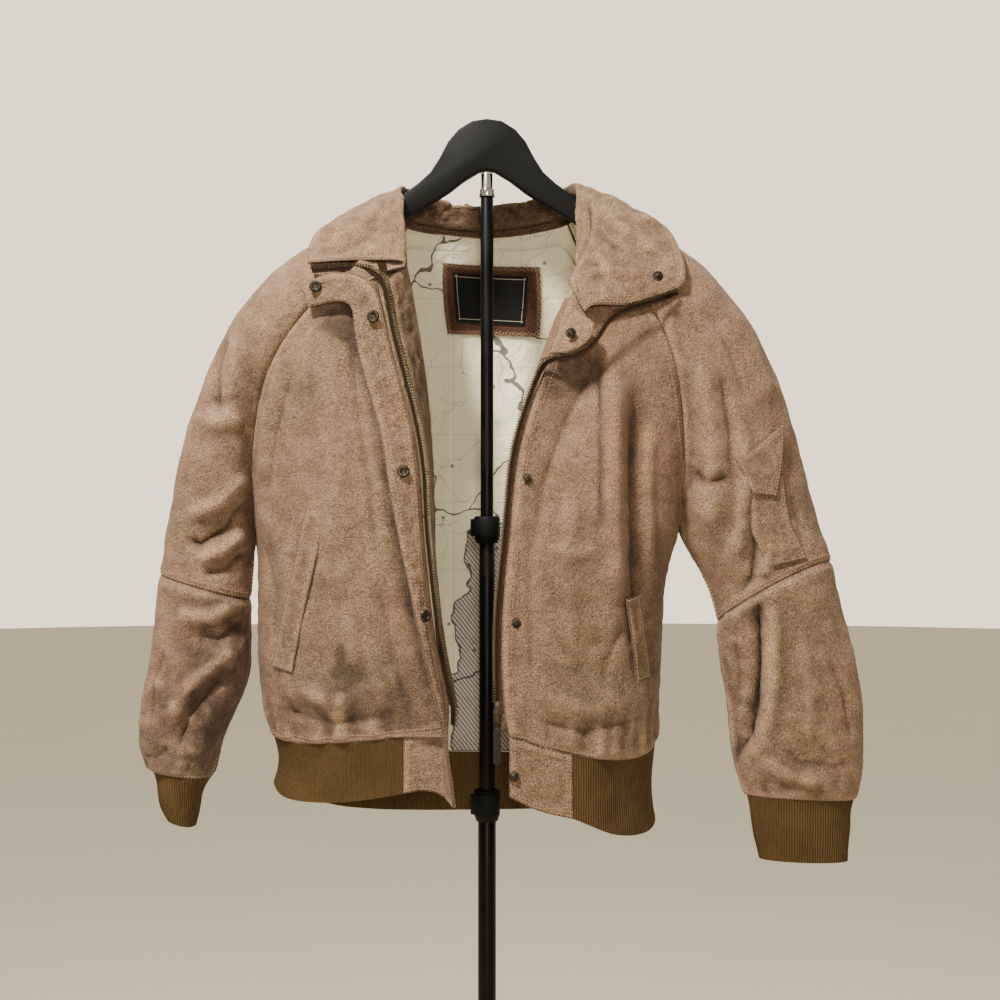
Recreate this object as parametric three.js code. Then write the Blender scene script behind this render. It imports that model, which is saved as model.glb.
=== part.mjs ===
// A worn leather bomber jacket with raglan sleeves, hanging open on a telescopic garment stand.
// Millimetres, +Z up, -Y to the front, +X to the wearer's left. The origin is on the floor, under the pole.
import * as THREE from 'three';

// ---------------------------------------------------------------- driving dimensions
const LEATHER = 2;              // wall of the leather panels
const COLLAR_WALL = 2.4;        // two layers of leather, sewn together
const RIB_WALL = 3;             // folded rib knit
const LINING_WALL = 1;
const TAPE_WALL = 1.2;
const HALF_SEAM = 0.15;         // each panel stops this far short of its seam line

const LOWER_ROWS = 9;           // body rows from the hem seam to the underarm
const ARC_STEPS = 8;            // steps from a sleeve's front edge to its top line, and on to its back edge
const BACK_COLUMNS = 14;
const RIGHT_COLUMNS = [0, 0.07, 0.155, 0.25, 0.36, 0.47, 0.58, 0.69, 0.8, 0.9, 1];
const LEFT_COLUMNS = [0, 0.09, 0.18, 0.27, 0.37, 0.47, 0.58, 0.69, 0.8, 0.9, 1];
const RIGHT_TAB_COLUMN = 2;     // the leather hem tabs end at these columns
const LEFT_TAB_COLUMN = 3;

const UPPER_TUBE_RADIUS = 7.2;
const MIDDLE_TUBE_RADIUS = 8.6;
const LOWER_TUBE_RADIUS = 10;
const TUBE_WALL = 0.9;
const BASE_RADIUS = 170;
const BASE_HEIGHT = 8;
const LOWER_TUBE_TOP = 806;
const MIDDLE_TUBE_SPAN = [545, 1112];
const UPPER_TUBE_SPAN = [865, 1485];
const HANGER_REACH = 196;       // from the pole to each end of the hanger
const HANGER_HALF_DEPTH = 9;

// ---------------------------------------------------------------- small helpers
const group = new THREE.Group();
const mix = THREE.MathUtils.lerp;
const vec = (p) => new THREE.Vector3(...p);
const smooth = (points, steps) =>
  new THREE.CatmullRomCurve3(points.map(vec), false, 'centripetal').getSpacedPoints(steps);
const through = (points) => new THREE.CatmullRomCurve3(points.map(vec), false, 'centripetal');
const key = (p) => `${p.x.toFixed(2)},${p.y.toFixed(2)},${p.z.toFixed(2)}`;

function finish(color, roughness, metalness = 0) {
  return new THREE.MeshStandardMaterial({ color, roughness, metalness });
}
const leather = finish('#96735f', 0.85);
const wornLeather = finish('#a58468', 0.85);
const rib = finish('#6b5330', 0.95);
const lining = finish('#d8cda8', 0.8);
const darkBrown = finish('#4a2f1f', 0.8);
const blackWeave = finish('#16140f', 0.7);
const antiqueMetal = finish('#6f6354', 0.45, 0.9);
const blackPlastic = finish('#101011', 0.5);
const blackPaint = finish('#0c0c0d', 0.4, 0.3);
const chrome = finish('#c9cbce', 0.2, 1);

function add(name, geometry, material, position = [0, 0, 0]) {
  const mesh = new THREE.Mesh(geometry, material);
  mesh.name = name;
  mesh.position.set(...position);
  group.add(mesh);
  return mesh;
}

// Vertex normals of grids that meet at their seams, so that neighbours share one seam normal.
// A grid is { points: rows of vectors, sense: 1 or -1, ring: true when each row closes on itself }.
function sharedNormals(grids) {
  const sums = new Map();
  const addTo = (p, n) => {
    if (!sums.has(key(p))) sums.set(key(p), new THREE.Vector3());
    sums.get(key(p)).add(n);
  };
  for (const { points, sense = 1, ring = false } of grids) {
    for (let i = 0; i + 1 < points.length; i++) {
      const width = points[i].length;
      for (let j = 0; j < (ring ? width : width - 1); j++) {
        const [a, b] = [points[i][j], points[i][(j + 1) % width]];
        const [c, d] = [points[i + 1][(j + 1) % width], points[i + 1][j]];
        const across = c.clone().sub(a).cross(d.clone().sub(b)).multiplyScalar(sense);
        [a, b, c, d].forEach((p) => addTo(p, across));
      }
    }
  }
  return (p) => sums.get(key(p)).clone().normalize();
}

// The way in from a border point, square to the border.
function inward(point, inside, before, after) {
  const along = after.clone().sub(before).normalize();
  const way = inside.clone().sub(point);
  return way.addScaledVector(along, -way.dot(along)).normalize().multiplyScalar(HALF_SEAM);
}

// A closed wall on a grid of points, between two distances along its normals.
function wall(grid, normalAt, from, to, seams = true) {
  const { points, ring = false } = grid;
  const rows = points.length;
  const width = points[0].length;
  const position = [];
  const place = (i, j, distance) => {
    const p = points[i][j].clone();
    if (seams) {
      const at = points[i];
      const [low, high] = [Math.max(i - 1, 0), Math.min(i + 1, rows - 1)];
      const [left, right] = [Math.max(j - 1, 0), Math.min(j + 1, width - 1)];
      if (i === 0) p.add(inward(at[j], points[1][j], at[left], at[right]));
      if (i === rows - 1) p.add(inward(at[j], points[i - 1][j], at[left], at[right]));
      if (!ring && j === 0) p.add(inward(at[0], at[1], points[low][0], points[high][0]));
      if (!ring && j === width - 1) p.add(inward(at[j], at[j - 1], points[low][j], points[high][j]));
    }
    return p.addScaledVector(normalAt(points[i][j]), distance);
  };
  for (const distance of [from, to]) {
    for (let i = 0; i < rows; i++) {
      for (let j = 0; j < width; j++) position.push(...place(i, j, distance).toArray());
    }
  }
  const front = (i, j) => i * width + (j % width);
  const back = (i, j) => rows * width + front(i, j);
  const index = [];
  const quad = (a, b, c, d) => index.push(a, b, c, a, c, d);
  // A rim's diagonal starts at the earlier outer point, so that two rims on one seam are cut alike.
  const earlier = (p, q) => (p.x - q.x || p.y - q.y || p.z - q.z) < 0;
  const rim = ([i, j], [m, n]) => {
    const [a, b, c, d] = [front(i, j), front(m, n), back(m, n), back(i, j)];
    if (earlier(points[i][j % width], points[m][n % width])) quad(a, b, c, d);
    else quad(b, c, d, a);
  };
  const columns = ring ? width : width - 1;
  for (let i = 0; i + 1 < rows; i++) {
    for (let j = 0; j < columns; j++) {
      quad(front(i, j), front(i, j + 1), front(i + 1, j + 1), front(i + 1, j));
      quad(back(i, j), back(i + 1, j), back(i + 1, j + 1), back(i, j + 1));
    }
  }
  for (let j = 0; j < columns; j++) {
    rim([0, j + 1], [0, j]);
    rim([rows - 1, j], [rows - 1, j + 1]);
  }
  for (let i = 0; i + 1 < rows && !ring; i++) {
    rim([i, 0], [i + 1, 0]);
    rim([i + 1, width - 1], [i, width - 1]);
  }
  return facingOut(position, index);
}

function facingOut(position, index) {
  let volume = 0;
  const corner = (k) => new THREE.Vector3().fromArray(position, 3 * index[k]);
  for (let k = 0; k < index.length; k += 3) {
    volume += corner(k).dot(corner(k + 1).cross(corner(k + 2)));
  }
  if (volume < 0) index.reverse();
  const geometry = new THREE.BufferGeometry();
  geometry.setAttribute('position', new THREE.Float32BufferAttribute(position, 3));
  geometry.setIndex(index);
  return geometry;
}

// ---------------------------------------------------------------- sleeves
// Each station is a section: its top line point, its front and back edges, how far it has closed
// into a tube (0 at the neck, 1 at the underarm) and its depth to the front and to the back.
function sleeveSection(top, front, back, closure, depth, frontLift = 0) {
  const arc = (edge, side, reach, lift) => {
    const fold = (4 / 3) * reach;
    const first = edge.clone().lerp(new THREE.Vector3(top.x, edge.y, top.z), 0.5 * (1 - closure));
    first.y += side * mix(3, fold, closure);
    const second = top.clone();
    second.y += side * mix(0.55 * Math.abs(edge.y - top.y), fold, closure);
    first.z += lift;
    second.z += lift;
    return new THREE.CubicBezierCurve3(edge, first, second, top).getSpacedPoints(ARC_STEPS);
  };
  const over = arc(front, -1, depth[0], frontLift);
  const behind = arc(back, 1, depth[1], 0).reverse();
  return [...over, ...behind.slice(1)].map((p, i, all) => {
    if (i === 0) return front.clone();
    return i === all.length - 1 ? back.clone() : p;
  });
}

const CLOSURE = [0, 0.03, 0.08, 0.16, 0.28, 0.45, 0.65, 0.85, 1];

const tubeRows = (rings) => rings.map(([outer, inner, depth, frontLift]) =>
  sleeveSection(vec(outer), vec(inner), vec(inner), 1, depth, frontLift));

function sleeve({ top, front, back, capDepth, tube }) {
  const rows = CLOSURE.map((closure, k) => {
    const edge = k === CLOSURE.length - 1 ? front[k] : back[k];
    return sleeveSection(vec(top[k]), vec(front[k]), vec(edge), closure, capDepth);
  });
  return [...rows, ...tubeRows(tube)];
}

const UNDERARM_RIGHT = [-257, 0, 1120];
const UNDERARM_LEFT = [212, 0, 1108];

const rightArm = {
  top: [[-118, 0, 1475], [-150, 0, 1454], [-188, 0, 1434], [-232, 0, 1406], [-270, 0, 1367],
    [-299, 0, 1316], [-321, 0, 1259], [-338, 2, 1199], [-349, 4, 1146]],
  front: [[-122, -48, 1426], [-147, -60, 1400], [-173, -65, 1374], [-201, -66, 1345], [-228, -62, 1308],
    [-246, -52, 1262], [-255, -38, 1212], [-258, -20, 1162], UNDERARM_RIGHT],
  back: [[-92, 42, 1458], [-114, 70, 1416], [-140, 88, 1374], [-166, 95, 1330], [-192, 92, 1284],
    [-215, 80, 1240], [-235, 60, 1196], [-250, 32, 1156], UNDERARM_RIGHT],
  capDepth: [50, 50],
  tube: [[[-355, 5, 1118], [-260, 4, 1092], [50, 50]], [[-360, 6, 1092], [-263, 5, 1065], [49, 50]],
    [[-364, 6, 1066], [-265, 5, 1038], [48, 50]]],
};
const rightForearm = [
  [[-369, 5, 1022], [-265, 5, 1006], [46, 49]], [[-374, 4, 982], [-264, 5, 976], [45, 48]],
  [[-380, 2, 942], [-266, 4, 946], [44, 47]], [[-384, 0, 908], [-281, 2, 914], [42, 45]],
  [[-385, -2, 882], [-294, 0, 888], [40, 43]], [[-380, -3, 862], [-302, -1, 862], [38, 41]],
  [[-371, -4, 849], [-306, -2, 840], [34, 37]]];
const rightCuffRings = [
  [[-367, -4, 840], [-316, -3, 826], [34, 36]], [[-366, -4, 814], [-319, -3, 806], [34, 36]],
  [[-355, -4, 797], [-323, -4, 787], [31, 33]]];

const leftArm = {
  top: [[118, 0, 1477], [148, 0, 1459], [187, 0, 1442], [237, 0, 1412], [281, 0, 1363],
    [313, 0, 1307], [336, 0, 1249], [352, 0, 1190], [366, 0, 1132]],
  front: [[122, -48, 1430], [146, -60, 1398], [170, -65, 1366], [190, -66, 1334], [204, -62, 1296],
    [211, -54, 1252], [214, -42, 1205], [214, -24, 1155], UNDERARM_LEFT],
  back: [[92, 42, 1462], [112, 70, 1420], [136, 88, 1378], [158, 95, 1334], [177, 94, 1288],
    [192, 84, 1242], [203, 64, 1196], [209, 34, 1150], UNDERARM_LEFT],
  capDepth: [48, 50],
  tube: [[[373, 0, 1112], [234, 0, 1078], [48, 48]], [[379, 0, 1094], [250, 0, 1046], [47, 46], 8],
    [[383, 0, 1078], [257, 0, 1013], [46, 45], 20]],
};
const leftForearm = [
  [[393, 0, 1040], [257, 0, 990], [45, 44], 14], [[402, 0, 1003], [260, 0, 966], [44, 43], 7],
  [[410, 0, 968], [264, 0, 944], [43, 42]], [[417, 0, 930], [268, 0, 917], [42, 40]],
  [[420, 0, 892], [270, 0, 888], [40, 38]], [[420, 0, 857], [273, 0, 860], [37, 35]],
  [[417, 0, 832], [280, 0, 837], [32, 31]], [[411, 0, 815], [286, 0, 821], [27, 26]]];
const leftCuffRings = [
  [[408, 0, 803], [290, 0, 806], [26, 25]], [[406, 0, 776], [294, 0, 776], [25, 24]],
  [[404, 0, 747], [300, 0, 750], [23, 22]]];

const closeRing = (row) => row.slice(0, -1);

const rightUpper = sleeve(rightArm);
const leftUpper = sleeve(leftArm);
const rightLower = [rightUpper.at(-1), ...tubeRows(rightForearm)];
const leftLower = [leftUpper.at(-1), ...tubeRows(leftForearm)];
const rightCuff = [rightLower.at(-1), ...tubeRows(rightCuffRings)].map(closeRing);
const leftCuff = [leftLower.at(-1), ...tubeRows(leftCuffRings)].map(closeRing);

// ---------------------------------------------------------------- body panels
// A pleat is a soft ridge (positive) or trough (negative) along a path seen from the front, [x, z].
function pleatHeight(pleats, x, z) {
  let height = 0;
  for (const { path, rise, reach } of pleats) {
    let nearest = Infinity;
    for (let k = 0; k + 1 < path.length; k++) {
      const [ax, az] = path[k];
      const [bx, bz] = path[k + 1];
      const length2 = (bx - ax) ** 2 + (bz - az) ** 2;
      const t = THREE.MathUtils.clamp(((x - ax) * (bx - ax) + (z - az) * (bz - az)) / length2, 0, 1);
      nearest = Math.min(nearest, Math.hypot(x - mix(ax, bx, t), z - mix(az, bz, t)));
    }
    height += rise * Math.exp(-((nearest / reach) ** 2));
  }
  return height;
}

// Rows run up from the hem seam; each goes from the front edge round to the side seam or raglan seam.
function frontPanel({ edgeBelow, edgeAbove, side, raglan, columns, sag, pleats }) {
  const edge = [...smooth(edgeBelow, LOWER_ROWS), ...smooth(edgeAbove, CLOSURE.length - 1).slice(1)];
  const rows = edge.length;
  return edge.map((start, i) => {
    const end = i <= LOWER_ROWS ? side[i] : vec(raglan[rows - 1 - i]);
    const wrap = i <= LOWER_ROWS ? 1 : 1 - (i - LOWER_ROWS) / (rows - 1 - LOWER_ROWS);
    const hang = sag * Math.exp(-i / 2);
    return columns.map((u) => {
      if (u === 0) return start.clone();
      if (u === 1) return end.clone();
      const turn = (u * Math.PI) / 2;
      const out = mix(u, Math.sin(turn), wrap);
      const p = start.clone().lerp(end, out);
      p.y = mix(start.y, end.y, mix(u ** 1.5, 1 - Math.cos(turn), wrap));
      p.z -= hang * Math.sin(Math.PI * u);
      const steady = Math.min(1, 6 * u * (1 - u));
      p.y -= steady * pleatHeight(pleats, p.x, p.z);
      return p;
    });
  });
}

const rightSide = smooth([[-238, 0, 890], [-246, 0, 915], [-251, 0, 945], [-253, 0, 990],
  [-253, 0, 1040], [-253, 0, 1085], UNDERARM_RIGHT], LOWER_ROWS);
const leftSide = smooth([[188, 0, 884], [189, 2, 915], [191, 4, 950], [194, 4, 1000],
  [196, 2, 1050], [202, 0, 1085], UNDERARM_LEFT], LOWER_ROWS);
rightSide[LOWER_ROWS] = vec(UNDERARM_RIGHT);
leftSide[LOWER_ROWS] = vec(UNDERARM_LEFT);

const rightFront = frontPanel({
  edgeBelow: [[-40, -103, 905], [-38, -106, 930], [-46, -107, 966], [-54, -108, 1010],
    [-60, -108, 1060], [-66, -107, 1120]],
  edgeAbove: [[-66, -107, 1120], [-69, -106, 1180], [-76, -105, 1226], [-88, -103, 1276],
    [-100, -100, 1322], [-107, -95, 1358], [-112, -86, 1384]],
  side: rightSide, raglan: rightArm.front, columns: RIGHT_COLUMNS, sag: 8,
  pleats: [{ path: [[-150, 1330], [-128, 1210], [-118, 1080]], rise: 7, reach: 22 },
    { path: [[-190, 1250], [-215, 1120]], rise: -5, reach: 26 },
    { path: [[-215, 950], [-130, 925], [-70, 940]], rise: 6, reach: 20 }],
});
const leftFront = frontPanel({
  edgeBelow: [[24, -100, 899], [18, -102, 930], [16, -102, 965], [16, -101, 1010], [19, -100, 1060],
    [24, -98, 1106]],
  edgeAbove: [[24, -98, 1106], [28, -96, 1150], [33, -94, 1195], [41, -92, 1228], [51, -90, 1258],
    [62, -88, 1286], [72, -85, 1318], [82, -80, 1348], [92, -75, 1374]],
  side: leftSide, raglan: leftArm.front, columns: LEFT_COLUMNS, sag: 20,
  pleats: [{ path: [[128, 1280], [136, 1160], [140, 1060], [158, 930]], rise: 11, reach: 20 },
    { path: [[158, 1230], [160, 1100], [166, 960]], rise: -14, reach: 13 },
    { path: [[110, 1290], [60, 1180]], rise: -6, reach: 22 },
    { path: [[60, 940], [110, 915]], rise: 6, reach: 20 }],
});

// How far back the back panel's middle lies, row by row from the hem seam to the neck.
const BACK_DEPTH = [62, 78, 88, 94, 98, 101, 103, 104, 105, 106, 107, 107, 107, 106, 104, 100, 90, 69];
const BACK_SEAM_SAG = 28;
const NECK_DIP = 9;
const backPleats = [{ path: [[-150, 1300], [-120, 1100], [-135, 930]], rise: 7, reach: 26 },
  { path: [[120, 1290], [90, 1120], [110, 940]], rise: 7, reach: 26 },
  { path: [[-20, 1250], [10, 1000]], rise: -5, reach: 34 }];

const back = BACK_DEPTH.map((depth, i) => {
  const top = BACK_DEPTH.length - 1;
  const upper = i > LOWER_ROWS;
  const start = upper ? vec(rightArm.back[top - i]) : rightSide[i];
  const end = upper ? vec(leftArm.back[top - i]) : leftSide[i];
  const wrap = upper ? 1 - (i - LOWER_ROWS) / (top - LOWER_ROWS) : 1;
  const drop = BACK_SEAM_SAG * Math.exp(-i / 1.5) + NECK_DIP * Math.exp((i - top) / 0.8);
  return Array.from({ length: BACK_COLUMNS + 1 }, (_, j) => {
    if (j === 0) return start.clone();
    if (j === BACK_COLUMNS) return end.clone();
    const u = j / BACK_COLUMNS;
    const p = start.clone().lerp(end, mix(u, (1 - Math.cos(Math.PI * u)) / 2, wrap));
    const bulge = Math.sin(Math.PI * u);
    p.y += (depth - (start.y + end.y) / 2) * mix(Math.sqrt(bulge), bulge, wrap);
    p.y += bulge * pleatHeight(backPleats, p.x, p.z);
    p.z -= drop * bulge;
    return p;
  });
});

// ---------------------------------------------------------------- hem: leather tabs and rib knit
const HEM_CENTRE = new THREE.Vector3(-27, -18, 0);
const RIB_STEPS = 3;

function hemBand(topRow, bottomHeights, pull) {
  const heights = new THREE.SplineCurve(bottomHeights.map((z, k) => new THREE.Vector2(k, z)));
  return Array.from({ length: RIB_STEPS + 1 }, (_, i) => topRow.map((p, j) => {
    if (i === 0) return p.clone();
    const down = i / RIB_STEPS;
    const low = heights.getPoint(j / (topRow.length - 1)).y;
    const slack = Math.sqrt(Math.sin((Math.PI * j) / (topRow.length - 1)) + 1e-9) * Math.sin(Math.PI * down);
    const q = p.clone().lerp(new THREE.Vector3(HEM_CENTRE.x, HEM_CENTRE.y, p.z), pull * slack);
    q.z = mix(p.z, low, down);
    return q;
  }));
}

const hemRow = [...rightFront[0].slice(RIGHT_TAB_COLUMN), ...back[0].slice(1, -1),
  ...leftFront[0].slice(LEFT_TAB_COLUMN).reverse()];
const ribGrid = hemBand(hemRow,
  [838, 827, 823, 825, 838, 822, 800, 793, 793, 796, 800, 803, 790, 785, 790, 810], 0.035);
const rightTab = hemBand(rightFront[0].slice(0, RIGHT_TAB_COLUMN + 1), [834, 844, 838], 0);
const leftTab = hemBand(leftFront[0].slice(0, LEFT_TAB_COLUMN + 1), [835, 822, 815, 810], 0);

// ---------------------------------------------------------------- the sewn shell
const shell = {
  right_front: { points: rightFront, sense: -1 },
  left_front: { points: leftFront, sense: 1 },
  back: { points: back, sense: -1 },
  right_sleeve_upper: { points: rightUpper, sense: 1 },
  right_sleeve_lower: { points: rightLower, sense: 1 },
  left_sleeve_upper: { points: leftUpper, sense: -1 },
  left_sleeve_lower: { points: leftLower, sense: -1 },
  right_hem_tab: { points: rightTab, sense: 1 },
  left_hem_tab: { points: leftTab, sense: -1 },
  right_cuff: { points: rightCuff, sense: 1, ring: true, material: rib, wall: RIB_WALL },
  left_cuff: { points: leftCuff, sense: -1, ring: true, material: rib, wall: RIB_WALL },
  hem_rib: { points: ribGrid, sense: 1, material: rib, wall: RIB_WALL },
};
const shellNormal = sharedNormals(Object.values(shell));
for (const [name, grid] of Object.entries(shell)) {
  add(name, wall(grid, shellNormal, 0, -(grid.wall ?? LEATHER)), grid.material ?? leather);
}

// ---------------------------------------------------------------- pieces laid on a panel
// A point of a grid between its corners, moved along the surface normal.
function onGrid(grid, normalAt, u, v, lift) {
  const { points } = grid;
  const row = THREE.MathUtils.clamp(v, 0, 1) * (points.length - 1);
  const column = THREE.MathUtils.clamp(u, 0, 1) * (points[0].length - 1);
  const i = Math.min(Math.floor(row), points.length - 2);
  const j = Math.min(Math.floor(column), points[0].length - 2);
  const blend = (f) => f(i, j).lerp(f(i, j + 1), column - j)
    .lerp(f(i + 1, j).lerp(f(i + 1, j + 1), column - j), row - i);
  const normal = blend((a, b) => normalAt(points[a][b])).normalize();
  return blend((a, b) => points[a][b].clone()).addScaledVector(normal, lift);
}

// The (u, v) of a grid that shows at [x, z] from the front, searched in ever smaller steps.
function locate(grid, normalAt, x, z, [low, high] = [0, 1]) {
  let [u, v] = [(low + high) / 2, 0.5];
  let step = (high - low) / 4;
  const miss = (a, b) => {
    const p = onGrid(grid, normalAt, THREE.MathUtils.clamp(a, low, high), b, 0);
    return Math.hypot(p.x - x, p.z - z);
  };
  while (step > 1e-5) {
    const tries = [[u, v], [u + step, v], [u - step, v], [u, v + step], [u, v - step]];
    const best = tries.reduce((m, t) => (miss(...t) < miss(...m) ? t : m));
    if (best[0] === u && best[1] === v) step /= 1.6;
    [u, v] = [THREE.MathUtils.clamp(best[0], low, high), THREE.MathUtils.clamp(best[1], 0, 1)];
  }
  return [u, v];
}

// A patch on a panel, from its four corners as seen from the front: lower start and end, upper start and end.
function patch(grid, normalAt, corners, steps, lift, range) {
  const spots = corners.map(([x, z]) => locate(grid, normalAt, x, z, range));
  const points = [];
  for (let i = 0; i <= steps[1]; i++) {
    const row = [];
    for (let j = 0; j <= steps[0]; j++) {
      const [a, b] = [j / steps[0], i / steps[1]];
      const at = (k) => mix(mix(spots[0][k], spots[1][k], a), mix(spots[2][k], spots[3][k], a), b);
      row.push(onGrid(grid, normalAt, at(0), at(1), lift));
    }
    points.push(row);
  }
  const [a, b, c] = [points[0][0], points[0][1], points[1][0]];
  const across = b.clone().sub(a).cross(c.clone().sub(a));
  return { points, sense: Math.sign(across.dot(onGrid(grid, normalAt, ...spots[0], lift + 1).sub(a))) };
}

function laid(name, grid, material, thickness) {
  const normalAt = sharedNormals([grid]);
  add(name, wall(grid, normalAt, 0, thickness, false), material);
  return normalAt;
}

const LAID_GAP = 1.8;
const WELT_WALL = 1.8;
laid('right_welt', patch(shell.right_front, shellNormal,
  [[-229, 968], [-206, 963], [-190, 1139], [-168, 1137]], [2, 10], LAID_GAP), wornLeather, WELT_WALL);
laid('left_welt', patch(shell.left_front, shellNormal,
  [[157, 952], [173, 955], [146, 1042], [161, 1046]], [4, 12], 2.4 * LAID_GAP), wornLeather, WELT_WALL);

const SLEEVE_FRONT = [0.03, 0.5];
const pocketGrid = patch(shell.left_sleeve_upper, shellNormal,
  [[303, 1076], [347, 1084], [286, 1160], [321, 1176]], [5, 6], LAID_GAP, SLEEVE_FRONT);
laid('sleeve_pocket', pocketGrid, wornLeather, WELT_WALL);
const FLAP_LIFT = 5;
const flapGrid = patch(shell.left_sleeve_upper, shellNormal,
  [[286, 1155], [312, 1152], [268, 1191], [320, 1232]], [4, 4], FLAP_LIFT, SLEEVE_FRONT);
laid('sleeve_pocket_flap', flapGrid, wornLeather, WELT_WALL);

// ---------------------------------------------------------------- collar
// The neckline runs from the right front corner over both shoulders to the left front corner.
const neckline = new THREE.CatmullRomCurve3([
  ...rightFront.at(-1), ...rightUpper[0].slice(1), ...back.at(-1).slice(1),
  ...[...leftUpper[0]].reverse().slice(1), ...[...leftFront.at(-1)].reverse().slice(1)],
false, 'centripetal');
const rollLine = through([[-87, -84, 1403], [-88, -60, 1432], [-92, -34, 1474], [-95, -2, 1500],
  [-76, 32, 1495], [-42, 52, 1489], [0, 58, 1488], [42, 52, 1490], [76, 32, 1497], [97, -2, 1503],
  [99, -34, 1474], [97, -62, 1425], [97, -88, 1382], [106, -98, 1352]]);
const collarEdge = through([[-192, -66, 1403], [-193, -50, 1424], [-184, -18, 1447], [-168, 34, 1446],
  [-122, 86, 1418], [-64, 110, 1404], [0, 117, 1398], [64, 110, 1406], [122, 86, 1424], [174, 34, 1456],
  [198, -18, 1450], [211, -50, 1416], [214, -66, 1392], [211, -70, 1376]]);
const COLLAR_COLUMNS = 30;
const SEAM_RISE = 7;            // the stand starts this far above the neckline
const LEAF_CROWN = 8;           // rise of the turned-down leaf between its roll and its edge
const collarRows = [];
for (let j = 0; j <= COLLAR_COLUMNS; j++) {
  const s = j / COLLAR_COLUMNS;
  const seam = neckline.getPointAt(s);
  const roll = rollLine.getPoint(s);
  const edge = collarEdge.getPoint(s);
  const out = edge.clone().sub(roll).normalize();
  seam.lerp(new THREE.Vector3(0, 0, seam.z), 0.06);
  seam.z += SEAM_RISE;
  seam.y -= 12 * Math.exp(-(((1 - s) * 8) ** 2));
  const crown = LEAF_CROWN * (1 - 0.8 * Math.exp(-((s * 9) ** 2)) - 1.9 * Math.exp(-(((1 - s) * 9) ** 2)));
  const inner = roll.clone().addScaledVector(out, -1).add(new THREE.Vector3(0, 2, -8));
  const arch = (t, rise) => roll.clone().lerp(edge, t).add(new THREE.Vector3(0, -0.4 * rise, rise));
  collarRows.push([seam, seam.clone().lerp(inner, 0.55), inner, roll, arch(0.12, 1), arch(0.38, crown),
    arch(0.7, crown), edge]);
}
laid('collar', { points: collarRows, sense: 1 }, wornLeather, COLLAR_WALL);

// ---------------------------------------------------------------- facings, storm flap, zip
// A leaf between two edges given point by point.
function leaf(first, second, rows, columns, bow = 0) {
  const [a, b] = [smooth(first, rows), smooth(second, rows)];
  return a.map((start, i) => Array.from({ length: columns + 1 }, (_, j) => {
    const p = start.clone().lerp(b[i], j / columns);
    p.y -= bow * Math.sin((Math.PI * j) / columns);
    return p;
  }));
}

laid('right_facing', {
  points: leaf(
    [[-104, -90, 1383], [-99, -97, 1352], [-92, -100, 1322], [-80, -102, 1276], [-68, -103, 1226],
      [-60, -104, 1180], [-57, -105, 1120], [-51, -106, 1060], [-45, -106, 1010], [-37, -105, 966],
      [-30, -103, 930]],
    [[-85, -68, 1400], [-77, -62, 1359], [-72, -60, 1327], [-66, -58, 1290], [-61, -56, 1240],
      [-58, -56, 1190], [-56, -58, 1126], [-56, -60, 1060], [-54, -62, 1010], [-48, -64, 966],
      [-42, -66, 930]], 16, 2, 3),
  sense: 1,
}, wornLeather, LEATHER);
laid('left_lapel', {
  points: leaf(
    [[95, -89, 1350], [86, -90, 1340], [78, -92, 1328], [71, -95, 1314], [68, -98, 1302]],
    [[114, -103, 1334], [114, -105, 1326], [110, -106, 1318], [100, -107, 1309], [86, -104, 1303]],
    6, 4, 3),
  sense: 1,
}, wornLeather, -LEATHER);

const FLAP_WALL = 3;
laid('storm_flap', {
  points: leaf(
    [[-197, -82, 1376], [-172, -92, 1388], [-148, -98, 1389], [-126, -103, 1382], [-114, -106, 1364],
      [-109, -108, 1340], [-101, -110, 1306], [-89, -112, 1262], [-79, -113, 1220], [-73, -114, 1176],
      [-69, -115, 1120], [-64, -116, 1064], [-58, -116, 1012], [-50, -115, 966], [-44, -114, 922], [-42, -112, 878], [-41, -110, 836]],
    [[-190, -84, 1353], [-166, -95, 1357], [-148, -105, 1359], [-140, -110, 1353], [-140, -112, 1338],
      [-137, -113, 1318], [-131, -114, 1290], [-119, -116, 1250], [-109, -118, 1214], [-103, -120, 1172],
      [-92, -126, 1112], [-80, -132, 1060], [-69, -138, 1012], [-58, -140, 968], [-46, -142, 924], [-38, -142, 880], [-31, -136, 830]],
    30, 3, 2),
  sense: 1,
}, wornLeather, -FLAP_WALL);

// A ribbon along a path, its width square to the path as seen from the front.
function ribbon(path, steps, halfWidth) {
  const curve = through(path);
  const points = [];
  for (let i = 0; i <= steps; i++) {
    const along = curve.getTangentAt(i / steps);
    const across = new THREE.Vector3(along.z, 0, -along.x).normalize();
    const p = curve.getPointAt(i / steps);
    points.push([p.clone().addScaledVector(across, -halfWidth), p.clone().addScaledVector(across, halfWidth)]);
  }
  return points;
}
const TAPE_HALF = 2.6;
const TAPE_STEPS = 34;
laid('right_zip_tape', {
  points: ribbon([[-35, -106, 912], [-34, -107, 930], [-42, -108, 966], [-50, -109, 1010],
    [-56, -109, 1060], [-62, -108, 1120], [-65, -107, 1180], [-73, -106, 1230], [-85, -104, 1278],
    [-97, -101, 1324], [-103, -99, 1354], [-106, -97, 1372], [-114, -94, 1387], [-132, -89, 1394.5],
    [-158, -81, 1394.5], [-187, -70, 1394]], TAPE_STEPS, TAPE_HALF),
  sense: 1,
}, darkBrown, -TAPE_WALL);
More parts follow.
